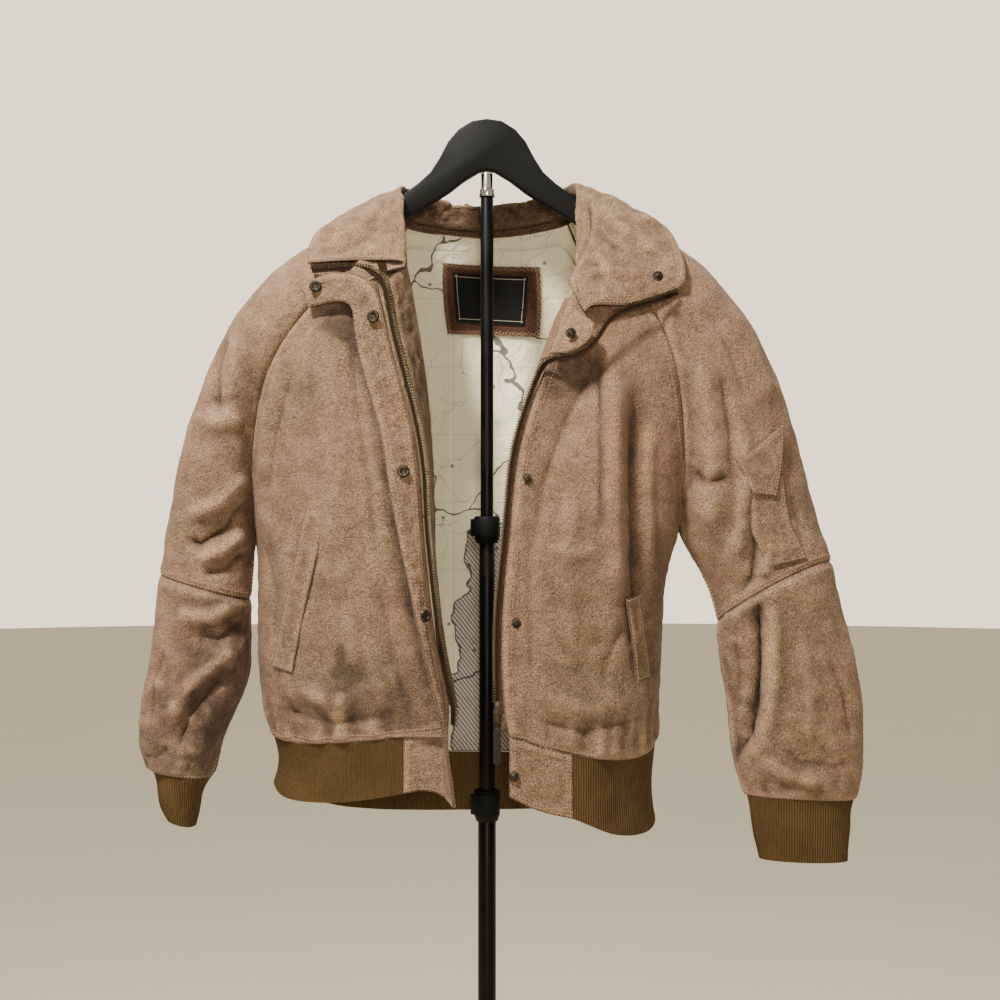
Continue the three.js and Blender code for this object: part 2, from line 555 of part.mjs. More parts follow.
laid('left_zip_tape', {
  points: ribbon([[11.5, -103, 936], [11, -103, 965], [11, -102, 1010], [14, -101, 1060], [19, -99, 1106],
    [23, -97, 1150], [28, -95, 1195], [36, -93, 1228], [46, -91, 1258], [55, -91, 1280],
    [63, -99, 1295], [80, -104, 1298], [98, -107, 1302], [112, -107, 1311], [121, -106, 1324],
    [129, -104, 1338], [146, -98, 1349], [172, -86, 1358], [205, -73, 1370]], TAPE_STEPS, TAPE_HALF),
  sense: 1,
}, darkBrown, -TAPE_WALL);

// ---------------------------------------------------------------- back lining and label
const LINING_GAP = 2.4;
const liningPoints = [];
for (let i = 0; i <= 13; i++) {
  const row = [];
  for (let j = 0; j <= 14; j++) {
    const [u, v] = [mix(0.05, 0.95, j / 14), mix(0.015, 0.975, i / 13)];
    const p = onGrid(shell.back, shellNormal, u, v, -(LEATHER + LINING_GAP));
    const fold = pleatHeight([{ path: [[-48, 1240], [-52, 900]], rise: 9, reach: 16 },
      { path: [[30, 1200], [16, 880]], rise: 6, reach: 18 }], p.x, p.z);
    p.y -= fold;
    row.push(p);
  }
  liningPoints.push(row);
}
const liningGrid = { points: liningPoints, sense: -1 };
const liningNormal = laid('lining', liningGrid, lining, -LINING_WALL);
const LABEL_LIFT = -(LINING_WALL + LAID_GAP);
const labelGrid = patch(liningGrid, liningNormal,
  [[-47, 1342], [61, 1338], [-52, 1424], [61, 1419]], [5, 4], LABEL_LIFT);
const labelNormal = laid('label_patch', labelGrid, darkBrown, -1.5);
const wovenGrid = patch(labelGrid, labelNormal,
  [[-36, 1356], [43, 1352], [-40, 1412], [47, 1408]], [4, 3], -2);
laid('label_woven', wovenGrid, blackWeave, -1);

// ---------------------------------------------------------------- snap fasteners
const SNAP_SEGMENTS = 12;
const snapProfile = (pairs) => pairs.map(([r, h]) => new THREE.Vector2(r, h));
const socketProfile = snapProfile([[0, 0], [6.4, 0], [6.6, 1.2], [5.6, 2.4], [3.4, 2.4], [2.6, 1.1], [0, 1.1]]);
const studProfile = snapProfile([[0, 0], [5.8, 0], [5.6, 1.1], [2.6, 1.5], [2.3, 3.6], [1.6, 4], [0, 4]]);

function snap(name, profile, position, direction) {
  const mesh = add(name, new THREE.LatheGeometry(profile, SNAP_SEGMENTS), antiqueMetal, position);
  mesh.quaternion.setFromUnitVectors(new THREE.Vector3(0, 1, 0), vec(direction).normalize());
}
const snapFace = [0.02, -1, 0];
snap('socket_snap_1', socketProfile, [-181, -93.5, 1374], [0, -1, 0.1]);
snap('socket_snap_2', socketProfile, [-118, -115, 1340], snapFace);
snap('socket_snap_3', socketProfile, [-86, -122, 1178], [0.06, -1, 0]);
snap('socket_snap_4', socketProfile, [-63, -131.5, 1028], [0.75, -1, 0]);
snap('stud_snap_1', studProfile, [182, -91.5, 1385], [0.1, -1, 0.25]);
snap('stud_snap_2', studProfile, [89, -110, 1323], [0.05, -1, 0]);
const snapGap = 0.9;
[[43, 1170], [31, 1018]].forEach(([x, z], k) => {
  const [u, v] = locate(shell.left_front, shellNormal, x, z);
  const p = onGrid(shell.left_front, shellNormal, u, v, snapGap);
  snap(`stud_snap_${k + 3}`, studProfile, p.toArray(), snapFace);
});
snap('stud_snap_5', studProfile, [29, -103, 857], [0.05, -1, 0]);

// ---------------------------------------------------------------- zip slider and pull
const SLIDER = { x: 11.5, y: -103.4, z: 919, width: 9, depth: 5, height: 23 };
const HINGE_DROP = 4;           // the pull's pin lies this far below the slider's top
const sliderOutline = new THREE.Shape();
sliderOutline.moveTo(-SLIDER.width / 2, SLIDER.height / 2 - 5);
sliderOutline.quadraticCurveTo(-SLIDER.width / 2, SLIDER.height / 2, 0, SLIDER.height / 2);
sliderOutline.quadraticCurveTo(SLIDER.width / 2, SLIDER.height / 2, SLIDER.width / 2, SLIDER.height / 2 - 5);
sliderOutline.lineTo(SLIDER.width / 2 - 1, -SLIDER.height / 2);
sliderOutline.lineTo(-SLIDER.width / 2 + 1, -SLIDER.height / 2);

function plate(outline, thickness) {
  const geometry = new THREE.ExtrudeGeometry(outline, { depth: thickness, bevelEnabled: false, curveSegments: 5 });
  geometry.rotateX(Math.PI / 2);
  return geometry;
}
add('zip_slider', plate(sliderOutline, SLIDER.depth), antiqueMetal, [SLIDER.x, SLIDER.y, SLIDER.z]);

const PULL_GAP = 0.5;
const PULL_PLATE = 1.6;
const pullOutline = new THREE.Shape();
pullOutline.moveTo(-3.2, PULL_PLATE / 2);
pullOutline.lineTo(3.2, PULL_PLATE / 2);
pullOutline.lineTo(3.8, -20);
pullOutline.lineTo(-3.8, -20);
const pullSlot = new THREE.Path();
pullSlot.moveTo(-2, -17.5);
pullSlot.lineTo(2, -17.5);
pullSlot.lineTo(2, -13);
pullSlot.lineTo(-2, -13);
pullOutline.holes.push(pullSlot);
const pullY = SLIDER.y - SLIDER.depth - PULL_GAP;
const pullZ = SLIDER.z + SLIDER.height / 2 - HINGE_DROP;
add('pull_tab', plate(pullOutline, PULL_PLATE), antiqueMetal, [SLIDER.x, pullY, pullZ]);

const STRAP = { width: 8, thickness: 3, length: 38 };
const strapOutline = new THREE.Shape();
strapOutline.moveTo(-STRAP.width / 2, 0);
strapOutline.lineTo(-STRAP.width / 2, 5 - STRAP.length);
strapOutline.quadraticCurveTo(0, -STRAP.length - 2, STRAP.width / 2, 5 - STRAP.length);
strapOutline.lineTo(STRAP.width / 2, 0);
add('leather_pull', plate(strapOutline, STRAP.thickness), darkBrown, [SLIDER.x, pullY + 0.7, pullZ - 20.4]);

// ---------------------------------------------------------------- stand
const TUBE_SEGMENTS = 20;
const upright = (profile, segments = TUBE_SEGMENTS) => {
  const geometry = new THREE.LatheGeometry(profile.map(([r, z]) => new THREE.Vector2(r, z)), segments);
  return geometry.rotateX(Math.PI / 2);
};
const hollow = (radius, bore, [low, high]) =>
  upright([[bore, low], [radius, low], [radius, high], [bore, high], [bore, low]]);

const BOSS = { radius: 17, top: 44 };
add('base_plate', upright([[0, 0], [BASE_RADIUS - 2, 0], [BASE_RADIUS, 2], [BASE_RADIUS, BASE_HEIGHT - 3],
  [BASE_RADIUS - 4, BASE_HEIGHT], [BOSS.radius + 4, BASE_HEIGHT], [BOSS.radius, BASE_HEIGHT + 6],
  [BOSS.radius - 2, BOSS.top], [LOWER_TUBE_RADIUS + 0.3, BOSS.top], [LOWER_TUBE_RADIUS + 0.3, BASE_HEIGHT + 2],
  [0, BASE_HEIGHT + 2]], 32), blackPaint);
add('lower_tube', hollow(LOWER_TUBE_RADIUS, LOWER_TUBE_RADIUS - TUBE_WALL,
  [BASE_HEIGHT + 2.3, LOWER_TUBE_TOP]), blackPaint);
add('middle_tube', hollow(MIDDLE_TUBE_RADIUS, MIDDLE_TUBE_RADIUS - TUBE_WALL, MIDDLE_TUBE_SPAN), blackPaint);
add('upper_tube', upright([[0, UPPER_TUBE_SPAN[0]], [UPPER_TUBE_RADIUS, UPPER_TUBE_SPAN[0]],
  [UPPER_TUBE_RADIUS, UPPER_TUBE_SPAN[1]], [0, UPPER_TUBE_SPAN[1]]]), blackPaint);
add('ferrule', upright([[0, 1485.3], [9, 1485.3], [9, 1493], [7.4, 1494], [6.6, 1511], [0, 1511]]), chrome);

// Each clamp is a collar at the top of its tube, stepped in above it, with a flip lever at the front.
const CLAMP_RADIUS = 14.5;
const CLAMP_GAP = 0.3;
function clampCollar(name, tubeRadius, innerRadius, [low, high], tubeTop) {
  const bore = tubeRadius + CLAMP_GAP;
  const neck = innerRadius + CLAMP_GAP;
  add(name, upright([[bore, low], [CLAMP_RADIUS - 2.5, low], [CLAMP_RADIUS, low + 8], [CLAMP_RADIUS, high - 2],
    [CLAMP_RADIUS - 1.5, high], [neck, high], [neck, tubeTop + CLAMP_GAP], [bore, tubeTop + CLAMP_GAP],
    [bore, low]]), blackPlastic);
}
clampCollar('lower_clamp', LOWER_TUBE_RADIUS, MIDDLE_TUBE_RADIUS, [791, 826], LOWER_TUBE_TOP);
clampCollar('upper_clamp', MIDDLE_TUBE_RADIUS, UPPER_TUBE_RADIUS, [1100, 1130], MIDDLE_TUBE_SPAN[1]);

const LEVER = { inner: 15, outer: 19.5, start: 200, sweep: 110 };
const radians = THREE.MathUtils.degToRad;
function lever(name, low, high) {
  const outline = new THREE.Shape();
  const [a, b] = [radians(LEVER.start), radians(LEVER.start + LEVER.sweep)];
  outline.absarc(0, 0, LEVER.outer, a, b, false);
  outline.absarc(0, 0, LEVER.inner, b, a, true);
  const geometry = new THREE.ExtrudeGeometry(outline, { depth: high - low, bevelEnabled: false, curveSegments: 10 });
  add(name, geometry, blackPlastic, [0, 0, low]);
}
lever('lower_clamp_lever', 800, 822);
lever('upper_clamp_lever', 1108, 1127);

const hangerOutline = new THREE.Shape();
hangerOutline.moveTo(0, 1571);
const hangerTop = [[18, 1568], [34, 1557], [46, 1541], [56, 1521], [68, 1506], [84, 1494], [100, 1482],
  [120, 1465], [150, 1443], [180, 1421]];
const hangerUnder = [[182, 1390], [150, 1414], [120, 1438], [98, 1456], [84, 1464], [66, 1475], [47, 1486],
  [29, 1500], [10, 1512], [0, 1514]];
const tip = [HANGER_REACH, 1401];
hangerOutline.splineThru([...hangerTop, tip].map((p) => new THREE.Vector2(...p)));
hangerOutline.splineThru(hangerUnder.map((p) => new THREE.Vector2(...p)));
const mirrored = ([x, z]) => new THREE.Vector2(-x, z);
hangerOutline.splineThru([...hangerUnder.slice(0, -1).reverse(), tip].map(mirrored));
hangerOutline.splineThru([...[...hangerTop].reverse(), [0, 1571]].map(mirrored));
const hangerGeometry = new THREE.ExtrudeGeometry(hangerOutline, {
  depth: 2 * HANGER_HALF_DEPTH - 6, bevelEnabled: true, bevelThickness: 3, bevelSize: 3, bevelOffset: -3,
  bevelSegments: 2, curveSegments: 1,
});
hangerGeometry.rotateX(Math.PI / 2);
add('hanger_head', hangerGeometry, blackPlastic, [0, HANGER_HALF_DEPTH - 3, 0]);

export default group;
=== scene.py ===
"""A worn leather bomber jacket with raglan sleeves, hanging open on a telescopic garment stand."""

import math

import bmesh
import bpy
import numpy as np
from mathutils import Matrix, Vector, noise
from mathutils.bvhtree import BVHTree
from mathutils.kdtree import KDTree


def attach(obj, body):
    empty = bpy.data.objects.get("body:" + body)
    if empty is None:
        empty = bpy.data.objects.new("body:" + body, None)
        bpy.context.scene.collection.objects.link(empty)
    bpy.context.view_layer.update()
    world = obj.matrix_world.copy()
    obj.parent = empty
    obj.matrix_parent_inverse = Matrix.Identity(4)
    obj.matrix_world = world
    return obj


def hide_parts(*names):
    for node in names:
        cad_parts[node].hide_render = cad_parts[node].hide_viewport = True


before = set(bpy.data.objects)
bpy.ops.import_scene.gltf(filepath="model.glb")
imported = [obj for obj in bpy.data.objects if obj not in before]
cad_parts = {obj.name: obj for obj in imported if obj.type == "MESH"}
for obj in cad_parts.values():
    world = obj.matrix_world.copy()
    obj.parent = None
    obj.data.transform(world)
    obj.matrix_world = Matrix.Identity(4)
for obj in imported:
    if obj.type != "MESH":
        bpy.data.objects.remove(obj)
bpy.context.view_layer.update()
bpy.ops.object.select_all(action="DESELECT")

# ---------------------------------------------------------------- room
# A plain pale floor under soft lights. The camera stands level in front of the jacket, at chest
# height, and takes in the jacket from the hanger to the hem.
CHEST_HEIGHT = 1.148
CHEST_AIM = 1.1
CAMERA_BACK = 1.890
HALF_VIEW = 0.530 / 1.800


def shade(red, green, blue):
    """A given colour, 0 to 255, as the linear values that shaders read."""
    channels = [c / 255 for c in (red, green, blue)]
    return [c / 12.92 if c <= 0.04045 else ((c + 0.055) / 1.055) ** 2.4 for c in channels] + [1.0]


def new_finish(name, roughness, metallic=0.0, sheen=0.0, specular=0.5):
    finish = bpy.data.materials.new(name)
    finish.use_nodes = True
    tree = finish.node_tree
    surface = tree.nodes["Principled BSDF"]
    surface.inputs["Roughness"].default_value = roughness
    surface.inputs["Metallic"].default_value = metallic
    surface.inputs["Sheen Weight"].default_value = sheen
    surface.inputs["Specular IOR Level"].default_value = specular
    return finish, tree, surface


def part(tree, kind, links=None, **settings):
    """Adds a node: settings are its properties, links its input values or the sockets that feed them."""
    made = tree.nodes.new("ShaderNode" + kind)
    for name, value in settings.items():
        setattr(made, name, value)
    for socket, value in (links or {}).items():
        if isinstance(value, bpy.types.NodeSocket):
            tree.links.new(value, made.inputs[socket])
        else:
            made.inputs[socket].default_value = value
    return made


def place_of(tree):
    return part(tree, "TexCoord").outputs["Object"]


def speckle(tree, place, scale, detail=2.0, roughness=0.5, distortion=0.0):
    return part(tree, "TexNoise", {"Vector": place, "Scale": scale, "Detail": detail,
                                   "Roughness": roughness, "Distortion": distortion}).outputs["Fac"]


def ramp(tree, value, low, high, to_low=0.0, to_high=1.0):
    return part(tree, "MapRange", {"Value": value, "From Min": low, "From Max": high,
                                   "To Min": to_low, "To Max": to_high}).outputs["Result"]


def calc(tree, operation, first, second=0.0):
    return part(tree, "Math", {0: first, 1: second}, operation=operation).outputs[0]


def tint(tree, amount, first, second):
    return part(tree, "Mix", {0: amount, 6: first, 7: second}, data_type="RGBA").outputs[2]


def relief(tree, height, depth, after=None):
    links = {"Height": height, "Distance": depth, "Strength": 1.0}
    if after is not None:
        links["Normal"] = after
    return part(tree, "Bump", links).outputs["Normal"]


def colour_and_relief(tree, surface, colour, normal=None, roughness=None):
    tree.links.new(colour, surface.inputs["Base Color"])
    if normal is not None:
        tree.links.new(normal, surface.inputs["Normal"])
    if roughness is not None:
        tree.links.new(roughness, surface.inputs["Roughness"])


bpy.ops.mesh.primitive_circle_add(vertices=96, radius=14, fill_type="NGON")
floor = bpy.context.object
floor.name = "floor"
plaster, plaster_tree, plaster_surface = new_finish("pale_floor", 0.9, specular=0.1)
mottle = speckle(plaster_tree, place_of(plaster_tree), 1.5, 4)
colour_and_relief(plaster_tree, plaster_surface,
                  tint(plaster_tree, mottle, shade(192, 187, 176), shade(198, 193, 181)))
floor.data.materials.append(plaster)

world = bpy.data.worlds.new("pale_room")
world.use_nodes = True
world.node_tree.nodes["Background"].inputs["Color"].default_value = shade(244, 231, 203)
bpy.context.scene.world = world
# The wall behind the stand is bright and the room in front of it is dim.
sky_way = part(world.node_tree, "TexCoord").outputs["Generated"]
depth_way = part(world.node_tree, "SeparateXYZ", {"Vector": sky_way}).outputs["Y"]
world.node_tree.links.new(ramp(world.node_tree, depth_way, -0.3, 0.7, 0.5, 2.2),
                          world.node_tree.nodes["Background"].inputs["Strength"])


WARM_WHITE = (255, 250, 240)


def soft_light(name, place, power, size):
    lamp = bpy.data.lights.new(name, "AREA")
    lamp.energy = power
    lamp.size = size
    lamp.color = shade(*WARM_WHITE)[:3]
    holder = bpy.data.objects.new(name, lamp)
    holder.location = place
    aim = Vector((0, 0, CHEST_AIM)) - Vector(place)
    holder.rotation_euler = aim.to_track_quat("-Z", "Y").to_euler()
    bpy.context.collection.objects.link(holder)


soft_light("ceiling_left", (-0.75, -1.2, 2.95), 132, 0.25)
soft_light("beside_camera", (0.1, -2.4, 1.45), 21, 0.3)
soft_light("window_behind", (0.5, 2.4, 2.6), 16, 1.6)

camera_data = bpy.data.cameras.new("camera")
camera_data.sensor_width = 36
camera_data.angle = 2 * math.atan(HALF_VIEW)
camera = bpy.data.objects.new("camera", camera_data)
camera.location = (0.0145, -CAMERA_BACK, CHEST_HEIGHT)
camera.rotation_euler = (math.pi / 2, 0, 0)
bpy.context.collection.objects.link(camera)
bpy.context.scene.camera = camera

# ---------------------------------------------------------------- stand
# A shop stand: a round steel base, three black painted tubes that slide in one another, moulded
# clamps with flip levers, a plated ferrule and a moulded hanger head.


def satin_black(name, colour, roughness, grain, depth):
    finish, tree, surface = new_finish(name, roughness, specular=0.14)
    place = place_of(tree)
    fine = speckle(tree, place, grain, 3)
    dust = ramp(tree, speckle(tree, place, 22, 5), 0.45, 0.8)
    pale = shade(*[c + 9 for c in colour])
    colour_and_relief(tree, surface, tint(tree, dust, shade(*colour), pale), relief(tree, fine, depth),
                      ramp(tree, dust, 0, 1, roughness, roughness + 0.18))
    return finish


black_paint = satin_black("black_paint", (4, 4, 5), 0.36, 900, 0.00006)
black_plastic = satin_black("moulded_black", (5, 5, 6), 0.55, 1400, 0.00012)

chrome, chrome_tree, chrome_surface = new_finish("plated_steel", 0.16, metallic=1.0)
chrome_smears = speckle(chrome_tree, place_of(chrome_tree), 140, 4)
colour_and_relief(chrome_tree, chrome_surface,
                  tint(chrome_tree, chrome_smears, shade(196, 198, 202), shade(226, 227, 229)),
                  relief(chrome_tree, chrome_smears, 0.00004))


def copied(node, name):
    """A free copy of a CAD node, its loose triangles merged, left as the only selected object."""
    bpy.ops.object.select_all(action="DESELECT")
    piece = bpy.data.objects.new(name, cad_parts[node].data.copy())
    bpy.context.collection.objects.link(piece)
    piece.data.materials.clear()
    bpy.context.view_layer.objects.active = piece
    piece.select_set(True)
    bpy.ops.object.mode_set(mode="EDIT")
    bpy.ops.mesh.select_all(action="SELECT")
    bpy.ops.mesh.remove_doubles(threshold=2e-5)
    bpy.ops.mesh.customdata_custom_splitnormals_clear()
    bpy.ops.object.mode_set(mode="OBJECT")
    return piece


def stands_for(piece, node, body, finish=None):
    if finish is not None:
        piece.data.materials.append(finish)
    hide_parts(node)
    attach(piece, body)


def eased(piece, radius, angle=50):
    """Rounds the hard edges of a moulded or turned piece."""
    bevel = piece.modifiers.new("edges", "BEVEL")
    bevel.width = radius
    bevel.segments = 2
    bevel.limit_method = "ANGLE"
    bevel.angle_limit = math.radians(angle)
    bpy.ops.object.modifier_apply(modifier="edges")
    bpy.ops.object.shade_smooth_by_angle(angle=math.radians(40))


STAND_PARTS = [
    ("base_plate", "base", "black_paint", black_paint, 0.0008),
    ("lower_tube", "base", "black_paint", black_paint, 0.0003),
    ("lower_clamp", "base", "black_plastic", black_plastic, 0.0008),
    ("lower_clamp_lever", "lower_lever", "black_plastic", black_plastic, 0.0012),
    ("middle_tube", "middle_stage", "black_paint", black_paint, 0.0003),
    ("upper_clamp", "middle_stage", "black_plastic", black_plastic, 0.0008),
    ("upper_clamp_lever", "upper_lever", "black_plastic", black_plastic, 0.0012),
    ("upper_tube", "jacket", "black_paint", black_paint, 0.0003),
    ("ferrule", "jacket", "chrome", chrome, 0.0003),
    ("hanger_head", "jacket", "black_plastic", black_plastic, 0.0008),
]
for node, body, slot, finish, edge in STAND_PARTS:
    stand_part = copied(node, "stand_" + node)
    eased(stand_part, edge)
    stands_for(stand_part, node, body, finish)

# ---------------------------------------------------------------- leather fronts, back and sleeves
# Worn tan nubuck, about 1 mm thick over a thin wadding, cut in panels and sewn with double
# topstitching. Each panel is the outer skin of its CAD wall, smoothed, creased and given a thickness.
LEATHER = 0.002
RIB = 0.003


def leather(name, mid, pale, dark, olive):
    finish, tree, surface = new_finish(name, 0.8, sheen=0.04, specular=0.3)
    place = place_of(tree)
    blotch = speckle(tree, place, 6, 5, 0.6)
    mottle = speckle(tree, place, 38, 5, 0.65)
    nap = speckle(tree, place, 640, 3, 0.75)
    flecks = speckle(tree, place, 260, 4, 0.75)
    grain = part(tree, "TexVoronoi", {"Vector": place, "Scale": 380, "Randomness": 1.0},
                 feature="DISTANCE_TO_EDGE").outputs["Distance"]
    creased = ramp(tree, grain, 0.0, 0.16, 1.0, 0.0)
    cracks = part(tree, "TexVoronoi", {"Vector": place, "Scale": 110, "Randomness": 1.0},
                  feature="DISTANCE_TO_EDGE").outputs["Distance"]
    worn = part(tree, "Attribute", attribute_name="worn").outputs["Fac"]
    # This attribute carries real dirt and stains, painted shade in folds and painted shadows; it darkens
    # the leather.
    grime_and_shade = part(tree, "Attribute", attribute_name="grime_and_shade").outputs["Fac"]
    rubbed = calc(tree, "MULTIPLY", worn, ramp(tree, mottle, 0.3, 0.65, 0.4, 1.0))
    patches = speckle(tree, place, 30, 6, 0.65)
    dirt_and_shade = calc(tree, "MULTIPLY", grime_and_shade, ramp(tree, patches, 0.3, 0.68, 0.4, 1.0))
    base = tint(tree, ramp(tree, blotch, 0.36, 0.66), shade(*mid), shade(*olive))
    base = tint(tree, ramp(tree, mottle, 0.5, 0.72, 0.0, 0.34), base, shade(*pale))
    base = tint(tree, rubbed, base, shade(*pale))
    base = tint(tree, ramp(tree, mottle, 0.46, 0.26, 0.0, 0.4), base, shade(*dark))
    base = tint(tree, ramp(tree, flecks, 0.5, 0.66, 0.0, 0.36), base, shade(*pale))
    base = tint(tree, ramp(tree, flecks, 0.44, 0.3, 0.0, 0.26), base, shade(*dark))
    in_creases = calc(tree, "MULTIPLY", creased, ramp(tree, blotch, 0.3, 0.6, 0.42, 0.64))
    base = tint(tree, in_creases, base, shade(*dark))
    base = tint(tree, ramp(tree, nap, 0.44, 0.68, 0.0, 0.58), base, shade(*dark))
    # Darkening by dirt and by painted shade and painted shadow.
    base = tint(tree, dirt_and_shade, base, shade(*dark))
    normal = relief(tree, mottle, 0.0016)
    normal = relief(tree, ramp(tree, cracks, 0.0, 0.12), 0.0003, normal)
    normal = relief(tree, flecks, 0.0012, normal)
    normal = relief(tree, creased, -0.0003, normal)
    normal = relief(tree, nap, 0.0004, normal)
    colour_and_relief(tree, surface, base, normal, ramp(tree, nap, 0.3, 0.7, 0.7, 0.9))
    return finish


jacket_leather = leather("tan_leather", (143, 108, 85), (192, 157, 128), (44, 30, 21), (126, 101, 74))
collar_leather = leather("collar_leather", (138, 106, 82), (186, 152, 122), (48, 33, 23), (126, 100, 74))

CREAM = (247, 238, 208)
INK = (44, 38, 40)


def printed_cotton(name):
    """Cream cotton printed with a chart: borders, a thin grid and hatched shallows."""
    finish, tree, surface = new_finish(name, 0.75, sheen=0.1, specular=0.25)
    place = place_of(tree)
    axes = part(tree, "SeparateXYZ", {"Vector": place}).outputs
    flat = part(tree, "CombineXYZ", {"X": axes["X"], "Y": axes["Z"]}).outputs[0]
    wander = part(tree, "TexNoise", {"Vector": flat, "Scale": 11.0, "Detail": 3.5, "Roughness": 0.55},
                  noise_dimensions="2D").outputs["Color"]
    shift = part(tree, "VectorMath", {0: wander, 1: (0.5, 0.5, 0.5)}, operation="SUBTRACT").outputs[0]
    shift = part(tree, "VectorMath", {0: shift, "Scale": 0.11}, operation="SCALE").outputs[0]
    drifted = part(tree, "VectorMath", {0: flat, 1: shift}, operation="ADD").outputs[0]

    def borders(scale, width):
        gap = part(tree, "TexVoronoi", {"Vector": drifted, "Scale": scale}, voronoi_dimensions="2D",
                   feature="DISTANCE_TO_EDGE").outputs["Distance"]
        return calc(tree, "LESS_THAN", gap, width * scale)

    def rule(axis, spacing, width):
        turn = calc(tree, "FRACT", calc(tree, "DIVIDE", axis, spacing))
        gap = calc(tree, "ABSOLUTE", calc(tree, "SUBTRACT", turn, 0.5))
        return calc(tree, "LESS_THAN", gap, width / spacing)

    grid = calc(tree, "MAXIMUM", rule(axes["X"], 0.079, 0.0003), rule(axes["Z"], 0.079, 0.0003))
    slant = calc(tree, "ADD", axes["X"], calc(tree, "MULTIPLY", axes["Z"], 0.8))
    chart = part(tree, "SeparateXYZ", {"Vector": drifted}).outputs
    inland = calc(tree, "MAXIMUM", calc(tree, "SUBTRACT", chart["Y"], 1.105),
                  calc(tree, "SUBTRACT", -0.03, chart["X"]))
    sea = calc(tree, "LESS_THAN", inland, 0.0)
    shore = calc(tree, "LESS_THAN", calc(tree, "ABSOLUTE", inland), 0.0014)
    towns = calc(tree, "LESS_THAN", part(tree, "TexVoronoi", {"Vector": flat, "Scale": 13},
                                         voronoi_dimensions="2D").outputs["Distance"], 0.028)
    ink = calc(tree, "MULTIPLY", grid, 0.4)
    for line in (shore, borders(6.5, 0.0016), calc(tree, "MULTIPLY", borders(15.0, 0.0004), 0.6),
                 calc(tree, "MULTIPLY", towns, 0.8)):
        ink = calc(tree, "MAXIMUM", ink, line)
    cloth = tint(tree, speckle(tree, place, 14, 4), shade(*[0.92 * c for c in CREAM]), shade(*CREAM))
    cloth = tint(tree, calc(tree, "MULTIPLY", sea, 0.62), cloth, shade(164, 152, 160))
    hatching = calc(tree, "MULTIPLY", sea, rule(slant, 0.0048, 0.0009))
    cloth = tint(tree, calc(tree, "MULTIPLY", hatching, 0.8), cloth, shade(60, 52, 74))
    cloth = tint(tree, calc(tree, "MULTIPLY", ink, 0.85), cloth, shade(*INK))
    threads = speckle(tree, place, 1500, 1)
    crumple = speckle(tree, place, 42, 3, 0.5, 0.6)
    normal = relief(tree, threads, 0.0002, relief(tree, crumple, 0.004))
    colour_and_relief(tree, surface, cloth, normal)
    return finish


lining_cotton = printed_cotton("printed_cotton")
LINED = [jacket_leather, lining_cotton]


def looks(way):
    """Picks the skin whose faces look this way; None picks the skin that looks away from its middle."""
    def amount(faces):
        middle = sum((f.calc_center_median() for f in faces), Vector()) / len(faces)
        if way is None:
            return sum(f.calc_area() * f.normal.dot(f.calc_center_median() - middle) for f in faces)
        return sum(f.calc_area() * f.normal.dot(Vector(way)) for f in faces)
    return amount


def skin(node, name, wall, way=None):
    """One skin of a CAD cloth wall as an open sheet of quads."""
    sheet = copied(node, name)
    form = bmesh.new()
    form.from_mesh(sheet.data)
    rim = [f for f in form.faces if any(abs(e.calc_length() - wall) < 3e-5 for e in f.edges)]
    bmesh.ops.delete(form, geom=rim, context="FACES")
    left = set(form.faces)
    skins = []
    while left:
        found = [left.pop()]
        for face in found:
            for edge in face.edges:
                for other in edge.link_faces:
                    if other in left:
                        left.remove(other)
                        found.append(other)
        skins.append(found)
    keep = max(skins, key=looks(way))
    bmesh.ops.delete(form, geom=[f for f in form.faces if f not in set(keep)], context="FACES")
    bmesh.ops.join_triangles(form, faces=form.faces, angle_face_threshold=math.pi,
                             angle_shape_threshold=math.pi)
    form.to_mesh(sheet.data)
    form.free()
    return sheet


def smooth(sheet, levels):
    rounding = sheet.modifiers.new("smooth", "SUBSURF")
    rounding.levels = levels
    rounding.render_levels = levels
    rounding.boundary_smooth = "PRESERVE_CORNERS"
    bpy.context.view_layer.objects.active = sheet
    bpy.ops.object.modifier_apply(modifier="smooth")


def numbers(data, field, width):
    values = np.empty(len(data) * width)
    data.foreach_get(field, values)
    return values.reshape(-1, width)


def move_out(sheet, heights):
    """Moves each point of a sheet along its own normal."""
    points = numbers(sheet.data.vertices, "co", 3)
    normals = numbers(sheet.data.vertex_normals, "vector", 3)
    sheet.data.vertices.foreach_set("co", (points + normals * heights[:, None]).ravel())
    sheet.data.update()


def along(points, path):
    """Distance of each point to a path seen from the front, and how far along the path it is, 0 to 1."""
    path = np.array(path, float)
    spans = np.linalg.norm(np.diff(path, axis=0), axis=1)
    starts = np.concatenate([[0], np.cumsum(spans)])
    seen = points[:, [0, 2]]
    best = np.full(len(points), np.inf)
    share = np.zeros(len(points))
    for a, b, span, start in zip(path[:-1], path[1:], spans, starts):
        t = np.clip(((seen - a) @ (b - a)) / span**2, 0, 1)
        gap = np.linalg.norm(seen - a - t[:, None] * (b - a), axis=1)
        nearer = gap < best
        best[nearer] = gap[nearer]
        share[nearer] = ((start + t * span) / starts[-1])[nearer]
    return best, share


def border_points(sheet):
    """The points on the open border of a sheet."""
    form = bmesh.new()
    form.from_mesh(sheet.data)
    found = [v.co.copy() for v in form.verts if v.is_boundary]
    form.free()
    return found


def seam_gap(sheet):
    """Distance of each point of a sheet to its nearest border, in millimetres."""
    border = border_points(sheet)
    tree = KDTree(len(border))
    for k, co in enumerate(border):
        tree.insert(co, k)
    tree.balance()
    return np.array([tree.find(v.co)[2] for v in sheet.data.vertices]) * 1000


def free(gap, reach=9):
    """How freely each point moves: 0 on a seam, 1 well away from it."""
    return 1 - np.exp(-((gap / reach) ** 2))


